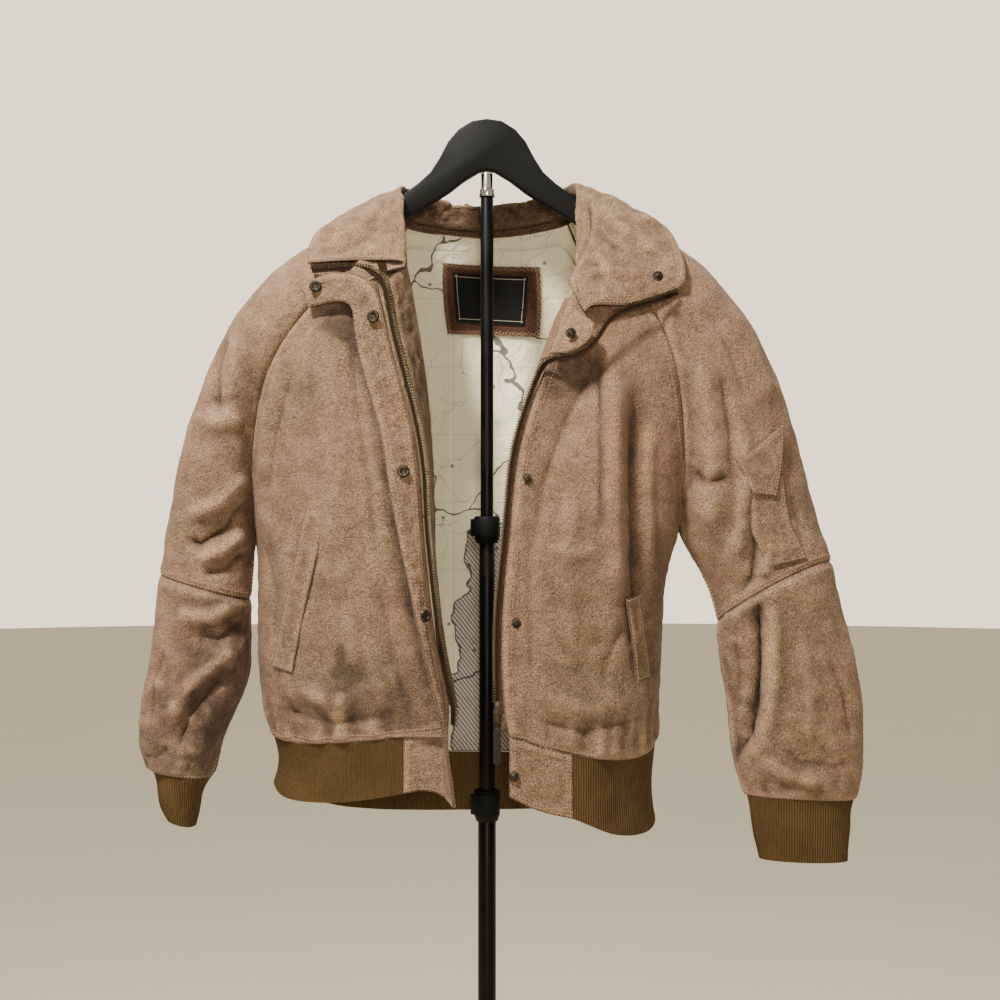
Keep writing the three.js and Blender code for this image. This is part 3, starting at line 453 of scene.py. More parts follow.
def crease(sheet, gap, folds, side=-1):
    """Folds seen from the front (side -1) or the back (1): (rise, reach, path), in millimetres."""
    points = numbers(sheet.data.vertices, "co", 3)
    facing = np.clip(1.6 * side * numbers(sheet.data.vertex_normals, "vector", 3)[:, 1] + 0.25, 0, 1)
    heights = np.zeros(len(points))
    for rise, reach, path in folds:
        away, share = along(points * 1000, path)
        ends = np.clip(5 * np.minimum(share, 1 - share), 0, 1)
        section = np.exp(-((away / reach) ** 2)) if rise > 0 else np.exp(-1.25 * away / reach)
        heights += rise * section * (0.1 + 0.9 * ends * ends * (3 - 2 * ends))
    move_out(sheet, heights / 1000 * facing * free(gap))


def crumple(sheet, gap, size, rise, stretch=(1, 1, 1), seed=0):
    """Small random puckers: size of a pucker and its rise, in millimetres."""
    scale = Vector(stretch) / (size / 1000)
    offset = Vector((seed, 0, 0))
    heights = np.array([noise.fractal(Vector(a * b for a, b in zip(v.co, scale)) + offset, 0.9, 2.1, 3)
                        for v in sheet.data.vertices])
    move_out(sheet, heights * rise / 1000 * free(gap))


def puff(sheet, gap, rise=1.3):
    """Raises a sheet beside its seams, with the small ripples that the thread pulls into it."""
    ripple = np.array([noise.noise(v.co * 120) for v in sheet.data.vertices])
    heights = rise * free(gap, 3) + 0.5 * np.exp(-(((gap - 6) / 3.5) ** 2))
    heights += ripple * 0.9 * np.exp(-(((gap - 6) / 8) ** 2)) * free(gap, 3)
    move_out(sheet, heights / 1000)


def gather(sheet, gap, seam, reach, rise, seed=0):
    """Upright puckers beside a seam at this height, where the leather is eased onto a rib."""
    heights = []
    for v in sheet.data.vertices:
        ripple = noise.noise(Vector((v.co.x * 62 + seed, v.co.y * 62, v.co.z * 9)))
        heights.append(rise * ripple * math.exp(-(((v.co.z - seam) * 1000 / reach) ** 2)))
    move_out(sheet, np.array(heights) / 1000 * free(gap, 4))


def spots(sheet, marks):
    """Dark places seen from the front, used for real stains and for painted shade and painted shadows:
    (x, z, half width, half height, depth), in millimetres.
    """
    points = numbers(sheet.data.vertices, "co", 3) * 1000
    total = np.zeros(len(points))
    for x, z, wide, high, depth in marks:
        away = ((points[:, 0] - x) / wide) ** 2 + ((points[:, 2] - z) / high) ** 2
        total += depth * np.exp(-(away**2))
    return total


def streak(sheet, path, reach, depth):
    """A dark band along a path seen from the front, in millimetres, used mostly for painted shade in
    folds and between parts and for painted shadows.
    """
    away, _ = along(numbers(sheet.data.vertices, "co", 3) * 1000, path)
    return depth * np.exp(-((away / reach) ** 2))


def bend_of(sheet):
    """How much each point stands out from its neighbours: positive on a ridge, negative in a fold."""
    points = numbers(sheet.data.vertices, "co", 3)
    normals = numbers(sheet.data.vertex_normals, "vector", 3)
    ends = np.empty(len(sheet.data.edges) * 2, int)
    sheet.data.edges.foreach_get("vertices", ends)
    ends = ends.reshape(-1, 2)
    count = np.bincount(ends.ravel(), minlength=len(points))[:, None]

    def average(values):
        total = np.zeros_like(values)
        np.add.at(total, ends[:, 0], values[ends[:, 1]])
        np.add.at(total, ends[:, 1], values[ends[:, 0]])
        return total / count

    bend = -((average(points) - points) * normals).sum(axis=1, keepdims=True) * 1000
    for _ in range(3):
        bend = (bend + average(bend)) / 2
    return bend[:, 0]


def mark(sheet, name, values):
    attribute = sheet.data.attributes.new(name, "FLOAT", "POINT")
    attribute.data.foreach_set("value", np.clip(values, 0, 1).astype(np.float32))


def age(sheet, gap, grime_and_shade=0.0):
    """Pale wear on ridges and seam edges, painted shade in folds, dark seam lines, and the given marks:
    real stains, painted shade and painted shadows.
    """
    bend = bend_of(sheet)
    mark(sheet, "worn", 0.06 + 1.8 * bend + 0.35 * np.exp(-(((gap - 3) / 3) ** 2)))
    # Folds darken as painted shade, seams get a dark line, and the given marks add real stains, painted
    # shade and painted shadows.
    mark(sheet, "grime_and_shade", -2.0 * bend + 0.7 * np.exp(-((gap / 1.2) ** 2)) + grime_and_shade)


def thicken(sheet, wall, finishes):
    """Gives a sheet its wall, inwards. The second finish, if there is one, is for the inside."""
    for finish in finishes:
        sheet.data.materials.append(finish)
    solid = sheet.modifiers.new("wall", "SOLIDIFY")
    solid.thickness = wall
    solid.offset = -1
    solid.material_offset = len(finishes) - 1
    bpy.context.view_layer.objects.active = sheet
    bpy.ops.object.modifier_apply(modifier="wall")
    for face in sheet.data.polygons:
        face.use_smooth = True
    bpy.ops.object.select_all(action="DESELECT")
    sheet.select_set(True)
    bpy.ops.object.shade_smooth_by_angle(angle=math.radians(60))


def border_lines(sheet, where, shortest=0.0):
    """Ordered runs of the border where where(point) holds: (point, normal, way into the sheet)."""
    form = bmesh.new()
    form.from_mesh(sheet.data)
    form.normal_update()
    links = {}
    for edge in form.edges:
        if edge.is_boundary and edge.calc_length() > shortest and all(where(v.co) for v in edge.verts):
            a, b = edge.verts
            links.setdefault(a, []).append(b)
            links.setdefault(b, []).append(a)
    lines = []
    while links:
        start = next((v for v, others in links.items() if len(others) == 1), next(iter(links)))
        line, here = [], start
        while here is not None:
            line.append(here)
            others = links.pop(here, [])
            here = next((v for v in others if v in links), None)
        if len(line) > 2:
            inward = []
            for k, v in enumerate(line):
                tangent = (line[min(k + 1, len(line) - 1)].co - line[max(k - 1, 0)].co).normalized()
                middle = sum((f.calc_center_median() for f in v.link_faces), Vector()) / len(v.link_faces)
                into = middle - v.co
                inward.append((into - tangent * into.dot(tangent)).normalized())
            lines.append([(v.co.copy(), v.normal.copy(), w) for v, w in zip(line, inward)])
    form.free()
    return lines


def surface_of(sheet):
    form = bmesh.new()
    form.from_mesh(sheet.data)
    tree = BVHTree.FromBMesh(form)
    form.free()
    return tree


def beside(sheet, where, distance):
    """Lines on a sheet that run beside its border, this many millimetres in."""
    tree = surface_of(sheet)
    found = []
    for line in border_lines(sheet, where):
        hits = [tree.find_nearest(co + into * distance / 1000) for co, _, into in line]
        found.append([(hit[0], hit[1]) for hit in hits if hit[0] is not None])
    return found


def rows(sheet, where, *distances):
    """Lines beside a border, one row for each of these distances."""
    return sum((beside(sheet, where, distance) for distance in distances), [])


def anywhere(point):
    return True


THREAD_PITCH = 0.0040
THREAD_LENGTH = 0.0030
THREAD_RADIUS = 0.00042
thread, thread_tree, thread_surface = new_finish("waxed_thread", 0.7, sheen=0.2)
thread_twist = speckle(thread_tree, place_of(thread_tree), 1200, 2)
colour_and_relief(thread_tree, thread_surface,
                  tint(thread_tree, thread_twist, shade(126, 94, 66), shade(176, 142, 106)),
                  relief(thread_tree, thread_twist, 0.0002))


def stitches(name, lines, finish=None, pitch=THREAD_PITCH, length=THREAD_LENGTH):
    """Rows of short thread stitches along lines of (point, normal) on a sheet."""
    points, faces = [], []
    for line in lines:
        travelled = 0.0
        for (a, normal), (b, _) in zip(line[:-1], line[1:]):
            span = (b - a).length
            if span < 1e-7 or span > 0.02:
                continue
            way = (b - a) / span
            across = way.cross(normal).normalized()
            reach = -travelled % pitch
            while reach < span:
                centre = a + way * reach + normal * THREAD_RADIUS * 0.4
                first = len(points)
                points.append(centre - way * length / 2 - normal * THREAD_RADIUS)
                for at in (-0.3, 0.3):
                    for turn in range(5):
                        angle = 2 * math.pi * turn / 5
                        round_it = across * math.cos(angle) + normal * math.sin(angle)
                        points.append(centre + way * length * at + round_it * THREAD_RADIUS)
                points.append(centre + way * length / 2 - normal * THREAD_RADIUS)
                for turn in range(5):
                    here, then = first + 1 + turn, first + 1 + (turn + 1) % 5
                    faces.append((first, then, here))
                    faces.append((here, then, then + 5, here + 5))
                    faces.append((first + 11, here + 5, then + 5))
                reach += pitch
            travelled += span
    mesh = bpy.data.meshes.new(name)
    mesh.from_pydata([tuple(p) for p in points], [], faces)
    mesh.polygons.foreach_set("use_smooth", [True] * len(mesh.polygons))
    sewn = bpy.data.objects.new(name, mesh)
    bpy.context.collection.objects.link(sewn)
    mesh.materials.append(finish or thread)
    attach(sewn, "jacket")


def finish_panel(sheet, node, finishes, wall=LEATHER):
    """Gives a sheet its wall, hides the CAD node it stands for and hangs it with the jacket."""
    thicken(sheet, wall, finishes)
    stands_for(sheet, node, "jacket")


def shaped(node, name, way, front=(), behind=(), puckers=(), gathered=None):
    """A leather panel with its folds in front and behind, its puckers and its fullness at a rib."""
    panel = skin(node, name, LEATHER, way)
    smooth(panel, 3)
    gap = seam_gap(panel)
    if front:
        crease(panel, gap, front)
    if behind:
        crease(panel, gap, behind, side=1)
    for size, rise, seed in puckers:
        crumple(panel, gap, size, rise, seed=seed)
    if gathered:
        gather(panel, gap, *gathered)
    puff(panel, gap, 1.8)
    return panel, gap


# Distances of the first and second row of topstitching from a seam, in millimetres.
FIRST_ROW = 2.6
SECOND_ROW = 8.5
HEM_SEAM = 0.93

# The right front (the wearer's): a smooth panel with a long soft fold under the collar.
right_front, right_gap = shaped("right_front", "right_front_panel", (0, -1, 0), [
    (5, 16, [(-176, 1340), (-168, 1250), (-160, 1160), (-170, 1080)]),
    (-5, 12, [(-146, 1330), (-136, 1240), (-122, 1150), (-116, 1080)]),
    (-4, 9, [(-205, 1290), (-226, 1220), (-238, 1150)]),
    (3.5, 9, [(-218, 1310), (-236, 1230), (-246, 1160)]),
    (3, 10, [(-246, 1150), (-215, 1090), (-205, 1010)]),
    (-3.5, 9, [(-248, 1110), (-228, 1050), (-230, 990)]),
    (3.5, 13, [(-225, 950), (-160, 935), (-95, 955)]),
    (-4, 9, [(-235, 925), (-160, 910), (-90, 925)]),
    (-3, 10, [(-112, 1060), (-100, 990), (-84, 930)]),
    (2.5, 10, [(-130, 1080), (-122, 1000), (-112, 940)]),
], puckers=((46, 1.6, 0), (15, 0.28, 7)), gathered=(0.90, 38, 5, 0))
# Marks: a dark stain low on the front, darker leather above the hem, a painted shadow under the storm
# flap's top tab and a painted shadow along the flap's free edge.
age(right_front, right_gap, spots(right_front, [
    (-154, 981, 5, 13, 4.0), (-150, 966, 13, 7, 4.0), (-139, 962, 8, 6, 3.0), (-152, 951, 8, 5, 3.4),
    (-105, 950, 60, 42, 0.4), (-160, 930, 130, 40, 0.4), (-146, 1336, 30, 20, 1.5)])
    + streak(right_front, [(-144, 1330), (-117, 1253), (-99, 1148), (-80, 1042), (-62, 965)], 9, 1.15))
right_front_seams = (rows(right_front, lambda p: p.z > 1.13 and p.x < -0.125, FIRST_ROW, SECOND_ROW)
                     + rows(right_front, lambda p: p.z < HEM_SEAM, 3, 8))
right_front_edge = border_lines(right_front, lambda p: p.x > -0.125 and p.z > 0.87)
finish_panel(right_front, "right_front", LINED)
stitches("right_front_stitching", right_front_seams)

# The left front: it hangs in a deep fold below the collar and is pulled to the zip.
left_front, left_gap = shaped("left_front", "left_front_panel", (0, -1, 0), [
    (-6, 12, [(118, 1300), (84, 1230), (58, 1160), (50, 1090)]),
    (6, 11, [(136, 1300), (136, 1200), (134, 1120), (140, 1030)]),
    (-5, 7, [(120, 1290), (122, 1200), (121, 1120)]),
    (-10, 9, [(158, 1270), (156, 1180), (160, 1080), (168, 950)]),
    (5, 8, [(174, 1240), (172, 1150), (176, 1060)]),
    (3.5, 12, [(90, 1180), (84, 1080), (88, 980)]),
    (-3, 8, [(46, 1140), (44, 1040), (48, 950)]),
    (3.5, 12, [(60, 940), (105, 925), (150, 935)]),
    (-4, 8, [(50, 915), (105, 902), (165, 912)]),
    (-3, 8, [(150, 1020), (130, 980), (120, 940)]),
    (3, 8, [(60, 1100), (90, 1090), (120, 1096)]),
], puckers=((46, 1.6, 3), (15, 0.28, 11)), gathered=(0.89, 38, 5, 3))
# Marks: a painted shadow under the collar, painted shade in the deep folds and in the side fold, a darker
# strip beside the zip, a small dark spot and darker leather above the hem.
age(left_front, left_gap, spots(left_front, [
    (100, 930, 50, 26, 0.22), (96, 1196, 4, 4, 0.6), (186, 1010, 16, 110, 0.5), (80, 1282, 50, 30, 0.9)])
    + streak(left_front, [(70, 1281), (45, 1223), (32, 1148), (27, 1041), (23, 935)], 8, 0.35)
    + streak(left_front, [(120, 1300), (124, 1200), (122, 1120)], 7, 0.45)
    + streak(left_front, [(160, 1260), (158, 1150), (162, 1050)], 10, 0.5))
left_front_seams = (rows(left_front, lambda p: p.z > 1.12 and p.x > 0.12, FIRST_ROW, SECOND_ROW)
                    + rows(left_front, lambda p: p.z < HEM_SEAM, 3)
                    + rows(left_front, lambda p: p.x < 0.09 and p.z > 0.9, 3, 12))
left_front_edge = border_lines(left_front, lambda p: p.x < 0.09 and p.z > 0.9)
finish_panel(left_front, "left_front", LINED)
stitches("left_front_stitching", left_front_seams)

# The back: one wide panel between the raglan seams, loose over the hips.
back, back_gap = shaped("back", "back_panel", (0, 1, 0), behind=[
    (3, 20, [(-120, 1330), (-100, 1200), (-110, 1050)]),
    (3, 20, [(110, 1330), (96, 1200), (104, 1060)]),
    (-3, 16, [(-40, 1300), (-20, 1180), (-30, 1060)]),
    (2.4, 14, [(-160, 960), (0, 925), (140, 955)]),
    (-2.4, 12, [(-150, 930), (0, 900), (130, 925)]),
], puckers=((52, 2.0, 5), (16, 0.28, 13)), gathered=(0.87, 42, 5, 5))
age(back, back_gap)
back_seams = []
for row in (FIRST_ROW, SECOND_ROW):
    back_seams += beside(back, lambda p: p.z > 1.1 and abs(p.x) > 0.1, row)
    back_seams += beside(back, lambda p: p.z < 0.9, row)
finish_panel(back, "back", LINED)
stitches("back_stitching", back_seams)

# Raglan sleeves, each cut in an upper part and a forearm joined by a stitched elbow seam, with
# hanging creases inside the elbow.
right_upper, right_upper_gap = shaped("right_sleeve_upper", "right_sleeve_upper_panel", None, [
    (6, 12, [(-262, 1330), (-276, 1280), (-280, 1220)]),
    (-6, 8, [(-282, 1330), (-292, 1290), (-288, 1240)]),
    (-5, 7, [(-262, 1262), (-284, 1252), (-306, 1262)]),
    (4, 7, [(-262, 1238), (-290, 1232), (-318, 1246)]),
    (-9, 8, [(-262, 1150), (-280, 1118), (-312, 1100), (-336, 1108)]),
    (7, 9, [(-262, 1180), (-290, 1146), (-326, 1130)]),
    (6, 7, [(-264, 1116), (-288, 1094), (-318, 1082)]),
    (-8, 7, [(-262, 1092), (-284, 1072), (-312, 1066)]),
    (4, 12, [(-318, 1250), (-330, 1190), (-338, 1140)]),
], behind=[
    (4, 14, [(-290, 1260), (-300, 1160), (-290, 1060)]),
    (-4, 11, [(-260, 1200), (-300, 1120), (-330, 1080)]),
    (3, 12, [(-190, 1330), (-250, 1240), (-280, 1160)]),
], puckers=((42, 1.8, 17), (15, 0.28, 19)))
# Painted shade along the sleeve's edge where it meets the body.
age(right_upper, right_upper_gap, streak(right_upper, [(-258, 1300), (-262, 1180), (-262, 1080)], 9, 0.5))
right_upper_seams = (rows(right_upper, lambda p: p.z > 1.15 and p.x > -0.262, FIRST_ROW)
                     + rows(right_upper, lambda p: p.z < 1.08, FIRST_ROW, 7))
finish_panel(right_upper, "right_sleeve_upper", LINED)
stitches("right_sleeve_upper_stitching", right_upper_seams)

right_lower, right_lower_gap = shaped("right_sleeve_lower", "right_sleeve_forearm", None, [
    (6, 9, [(-268, 1040), (-300, 1022), (-340, 1024)]),
    (-9, 8, [(-268, 1014), (-292, 996), (-318, 1000)]),
    (6, 9, [(-270, 990), (-300, 968), (-330, 940), (-350, 900)]),
    (-10, 10, [(-272, 966), (-298, 944), (-322, 912), (-338, 872)]),
    (5, 9, [(-300, 930), (-312, 900), (-322, 862)]),
    (-4, 8, [(-350, 990), (-364, 950), (-368, 900)]),
    (4, 9, [(-356, 960), (-376, 930), (-380, 890)]),
    (-4, 7, [(-345, 880), (-362, 866), (-376, 868)]),
], behind=[
    (4, 12, [(-275, 1020), (-320, 990), (-360, 1000)]),
    (-4, 10, [(-275, 980), (-320, 950), (-365, 960)]),
    (3, 10, [(-300, 910), (-340, 890), (-375, 900)]),
], puckers=((34, 1.8, 23), (14, 0.3, 29)), gathered=(0.845, 30, 5, 7))
# The forearm is darker all over and towards the cuff; the tall mark down the inner forearm is a painted
# shadow.
age(right_lower, right_lower_gap, 0.12 + spots(right_lower, [
    (-340, 880, 70, 90, 0.5), (-290, 950, 40, 110, 0.8)]))
right_lower_seams = beside(right_lower, lambda p: p.z > 1.0 or p.z < 0.86, FIRST_ROW)
finish_panel(right_lower, "right_sleeve_lower", LINED)
stitches("right_forearm_stitching", right_lower_seams)

left_upper, left_upper_gap = shaped("left_sleeve_upper", "left_sleeve_upper_panel", None, [
    (-8, 10, [(206, 1300), (214, 1220), (222, 1150)]),
    (7, 12, [(226, 1310), (240, 1230), (246, 1150), (236, 1100)]),
    (-6, 9, [(252, 1290), (262, 1220), (266, 1150)]),
    (6, 9, [(272, 1240), (280, 1180), (276, 1120), (262, 1070)]),
    (-7, 7, [(222, 1180), (240, 1166), (262, 1176)]),
    (-8, 8, [(296, 1160), (294, 1110), (288, 1064), (274, 1040)]),
    (6, 9, [(306, 1110), (304, 1080), (300, 1062)]),
    (-4, 10, [(232, 1360), (262, 1310), (284, 1250)]),
    (4, 11, [(256, 1370), (290, 1310), (312, 1250)]),
    (-4, 8, [(330, 1160), (340, 1120), (344, 1085)]),
], behind=[
    (4, 14, [(300, 1260), (300, 1160), (290, 1080)]),
    (-4, 11, [(240, 1220), (280, 1140), (330, 1090)]),
    (3, 12, [(180, 1330), (240, 1240), (270, 1160)]),
], puckers=((42, 1.8, 31), (15, 0.28, 37)))
# Painted shade where the sleeve meets the body and in the fold inside the elbow.
age(left_upper, left_upper_gap, streak(left_upper, [(208, 1260), (214, 1180), (222, 1120)], 9, 0.4)
    + streak(left_upper, [(296, 1165), (294, 1110), (286, 1050)], 8, 0.55))
left_upper_seams = (rows(left_upper, lambda p: p.z > 1.15 and p.x < 0.216, FIRST_ROW)
                    + rows(left_upper, lambda p: p.z < 1.09 and p.x > 0.24, FIRST_ROW, 7))
finish_panel(left_upper, "left_sleeve_upper", LINED)
stitches("left_sleeve_upper_stitching", left_upper_seams)

left_lower, left_lower_gap = shaped("left_sleeve_lower", "left_sleeve_forearm", None, [
    (-19, 9, [(295, 1046), (297, 1000), (297, 960), (294, 930), (286, 888), (272, 858)]),
    (9, 9, [(309, 1046), (311, 1000), (311, 950), (306, 910), (298, 870)]),
    (-4, 8, [(270, 1000), (276, 960), (274, 910)]),
    (4, 9, [(340, 1000), (352, 940), (350, 880)]),
    (-4, 9, [(318, 880), (340, 862), (380, 856), (405, 862)]),
    (5, 8, [(300, 868), (330, 846), (370, 838)]),
    (-4, 8, [(372, 980), (392, 930), (400, 880)]),
    (3, 9, [(390, 1000), (406, 950), (410, 900)]),
], behind=[
    (4, 13, [(300, 1000), (320, 920), (310, 850)]),
    (-4, 11, [(350, 1010), (370, 930), (360, 850)]),
    (3, 10, [(290, 980), (340, 960), (400, 970)]),
], puckers=((36, 1.8, 41), (14, 0.3, 43)), gathered=(0.815, 30, 5, 9))
# Slightly darker all over, painted shade in the deep fold and on the recessed underside by the body, and
# darker leather above the cuff.
age(left_lower, left_lower_gap, 0.02
    + spots(left_lower, [(276, 950, 20, 110, 0.4), (330, 850, 60, 26, 0.2)])
    + streak(left_lower, [(295, 1046), (297, 960), (294, 930), (286, 888), (272, 858)], 8, 0.7))
left_lower_seams = (beside(left_lower, lambda p: p.z < 0.84, FIRST_ROW)
                    + beside(left_lower, lambda p: p.z > 1.0, FIRST_ROW))
finish_panel(left_lower, "left_sleeve_lower", LINED)
stitches("left_forearm_stitching", left_lower_seams)

# ---------------------------------------------------------------- hem tabs
# Two short leather tabs close the hem at the front, topstitched all round.
for node, name, flat, area in (("right_hem_tab", "right_hem_tab_leather", (0.046, 0.068), 0.0029),
                               ("left_hem_tab", "left_hem_tab_leather", (0.070, 0.075), 0.0046)):
    tab = skin(node, name, LEATHER, (0, -1, 0))
    smooth(tab, 4)
    tab_gap = seam_gap(tab)
    crumple(tab, tab_gap, 18, 0.9, seed=47)
    puff(tab, tab_gap, 0.8)
    age(tab, tab_gap)
    tab_seams = rows(tab, anywhere, FIRST_ROW, 6.5)
    finish_panel(tab, node, LINED)
    stitches(name + "_stitching", tab_seams)

# ---------------------------------------------------------------- rib knit cuffs and hem
# Thick double rib in olive brown wool, folded at its free edge. Its ribs run up and down.
RIB_PITCH = 0.0029
COURSE_PITCH = 0.0024


def rib_knit(name):
    finish, tree, surface = new_finish(name, 0.95, specular=0.1)
    spread = part(tree, "UVMap", uv_map="ribs").outputs["UV"]
    place = place_of(tree)
    axes = part(tree, "SeparateXYZ", {"Vector": spread}).outputs
    wobble = calc(tree, "MULTIPLY", speckle(tree, place, 60, 2), 0.0016)
    turn = calc(tree, "MULTIPLY", calc(tree, "ADD", axes["X"], wobble), 2 * math.pi / RIB_PITCH)
    wales = ramp(tree, calc(tree, "SINE", turn), -1, 1)
    climb = calc(tree, "MULTIPLY", axes["Y"], 2 * math.pi / COURSE_PITCH)
    courses = ramp(tree, calc(tree, "SINE", climb), -1, 1)
    fluff = speckle(tree, place, 480, 4, 0.7)
    stain = ramp(tree, speckle(tree, place, 16, 4), 0.4, 0.75)
    yarn = tint(tree, fluff, shade(80, 59, 35), shade(114, 90, 57))
    # The furrows between the ribs are darkened in colour: painted shade.
    yarn = tint(tree, ramp(tree, wales, 0.5, 0.0, 0.0, 0.34), yarn, shade(26, 17, 7))
    yarn = tint(tree, calc(tree, "MULTIPLY", stain, 0.35), yarn, shade(38, 26, 13))
    normal = relief(tree, wales, 0.0012)
    normal = relief(tree, calc(tree, "MULTIPLY", courses, wales), 0.0004, normal)
    normal = relief(tree, fluff, 0.0006, normal)
    colour_and_relief(tree, surface, yarn, normal)
    return finish


rib_yarn = rib_knit("olive_rib")


def unroll(sheet, ring, below=math.inf):
    """Lays a band out flat in its own map: across is the distance round the band, up is its height."""
    points = numbers(sheet.data.vertices, "co", 3)
    lines = border_lines(sheet, lambda p: p.z < below)
    lines.sort(key=lambda line: sum(co.z for co, _, _ in line) / len(line))
    guide = [co for co, _, _ in (lines[-1] if ring else max(lines, key=len))]
    if ring:
        guide.append(guide[0])
    guide = np.array([[p.x, p.y] for p in guide])
    spans = np.linalg.norm(np.diff(guide, axis=0), axis=1)
    starts = np.concatenate([[0], np.cumsum(spans)])
    best = np.full(len(points), np.inf)
    across = np.zeros(len(points))
    for a, b, span, start in zip(guide[:-1], guide[1:], spans, starts):
        if span < 1e-9:
            continue
        t = np.clip(((points[:, :2] - a) @ (b - a)) / span**2, 0, 1)
        gap = np.linalg.norm(points[:, :2] - a - t[:, None] * (b - a), axis=1)
        nearer = gap < best
        best[nearer] = gap[nearer]
        across[nearer] = (start + t * span)[nearer]
    spread = sheet.data.uv_layers.new(name="ribs")
    whole = starts[-1]
    for face in sheet.data.polygons:
        found = [across[sheet.data.loops[k].vertex_index] for k in face.loop_indices]
        for k, value in zip(face.loop_indices, found):
            if ring and max(found) - value > whole / 2:
                value += whole
            spread.data[k].uv = (value, points[sheet.data.loops[k].vertex_index][2])


for node, name, flat, area, holder in (
        ("right_cuff", "right_cuff_rib", (0.18, 0.055), 0.0095, right_lower),
        ("left_cuff", "left_cuff_rib", (0.28, 0.068), 0.018, left_lower)):
    cuff = skin(node, name, RIB)
    smooth(cuff, 3)
    unroll(cuff, ring=True)
    crumple(cuff, seam_gap(cuff), 22, 1.2, stretch=(1, 1, 0.4), seed=53)
    finish_panel(cuff, node, [rib_yarn], wall=RIB)

hem = skin("hem_rib", "hem_rib_band", RIB)
smooth(hem, 3)
unroll(hem, ring=False, below=0.846)
crumple(hem, seam_gap(hem), 26, 1.6, stretch=(1, 1, 0.35), seed=59)
finish_panel(hem, "hem_rib", [rib_yarn], wall=RIB)

# ---------------------------------------------------------------- collar
# A stand and a turned-down leaf of two layers of leather, creased where it rolls and rubbed pale
# along its edge. Its inside is dark from wear at the back of the neck.
COLLAR_WALL = 0.0024
collar = skin("collar", "collar_leather_leaf", COLLAR_WALL, (0, 0, 1))
smooth(collar, 3)
collar_gap = seam_gap(collar)
crease(collar, collar_gap, [
    (4, 9, [(-110, 1480), (-150, 1440), (-176, 1416)]),
    (-4, 7, [(-100, 1462), (-130, 1430), (-165, 1408)]),
    (3, 6, [(-95, 1440), (-120, 1415), (-150, 1402)]),
    (4, 9, [(112, 1478), (150, 1440), (190, 1410)]),
    (-4, 7, [(104, 1450), (140, 1420), (185, 1396)]),
    (3, 6, [(100, 1420), (130, 1395), (170, 1385)]),
    (-3, 5, [(96, 1436), (118, 1404), (124, 1376)]),
])
crumple(collar, collar_gap, 30, 2.8, seed=61)
crumple(collar, collar_gap, 11, 1.1, seed=67)
puff(collar, collar_gap)
collar_points = numbers(collar.data.vertices, "co", 3)
collar_normals = numbers(collar.data.vertex_normals, "vector", 3)
inside_neck = np.clip(-(collar_points[:, :2] * collar_normals[:, :2]).sum(axis=1) * 30, 0, 1)
age(collar, collar_gap, 0.75 * inside_neck * np.clip(collar_points[:, 1] * 40 + 0.8, 0, 1))
collar_seams = rows(collar, lambda p: math.hypot(p.x, p.y) > 0.11 or p.y > 0.08, 3, 9)
finish_panel(collar, "collar", [collar_leather],
             wall=COLLAR_WALL)
stitches("collar_stitching", collar_seams)

# ---------------------------------------------------------------- facing, lapel and storm flap
# The right front's facing folds back beside the zip, its storm flap hangs open with snap sockets,
# and the left front's top corner turns out under the zip.
STORM_FLAP_WALL = 0.003
for node, name, wall, flat, area, finish, slot in (
        ("right_facing", "right_facing_strip", LEATHER, (0.048, 0.48), 0.021,
         collar_leather, "collar_leather"),
        ("left_lapel", "left_lapel_corner", LEATHER, (0.035, 0.05), 0.0016,
         collar_leather, "collar_leather"),
        ("storm_flap", "storm_flap_leather", STORM_FLAP_WALL, (0.055, 0.62), 0.018,
         jacket_leather, "leather")):
    strip = skin(node, name, wall, (0, -1, 0))
    smooth(strip, 3)
    strip_gap = seam_gap(strip)
    crumple(strip, strip_gap, 22, 1.8, seed=71)
    crumple(strip, strip_gap, 9, 0.9, seed=73)
    puff(strip, strip_gap, 0.6)
    age(strip, strip_gap, 0.5 if node == "right_facing" else 0.1)
    strip_seams = rows(strip, anywhere, *((FIRST_ROW, 8) if node == "storm_flap" else (FIRST_ROW,)))
    strip_border = [co.copy() for line in border_lines(strip, anywhere) for co, _, _ in line]
    finish_panel(strip, node, [finish], wall=wall)
    stitches(name + "_stitching", strip_seams)


def backing(name, outer, inner):
    """A strip of leather between two rows of points, sewn behind an edge."""
    points = [tuple(p) for pair in zip(outer, inner) for p in pair]
    faces = [(k, k + 1, k + 3, k + 2) for k in range(0, len(points) - 2, 2)]
    mesh = bpy.data.meshes.new(name)
    mesh.from_pydata(points, [], faces)
    strip = bpy.data.objects.new(name, mesh)
    bpy.context.collection.objects.link(strip)
    thicken(strip, 0.001, [collar_leather])
    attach(strip, "jacket")


front_edge = max(left_front_edge, key=len)
backing("left_edge_fold", [co - 0.011 * into - 0.0045 * normal for co, normal, into in front_edge],
        [co + 0.006 * into - 0.0045 * normal for co, normal, into in front_edge])
right_edge = [co + 0.004 * into - 0.0015 * normal for co, normal, into in max(right_front_edge, key=len)]
backing("storm_flap_root", right_edge,
        [min(strip_border, key=lambda p: (p - co).length) + Vector((0, 0.0012, 0)) for co in right_edge])
backing("right_facing_top",
        [Vector(p) / 1000 for p in ((-122, -72, 1416), (-104, -64, 1416), (-86, -58, 1414))],
        [Vector(p) / 1000 for p in ((-118, -76, 1372), (-102, -68, 1374), (-84, -62, 1376))])

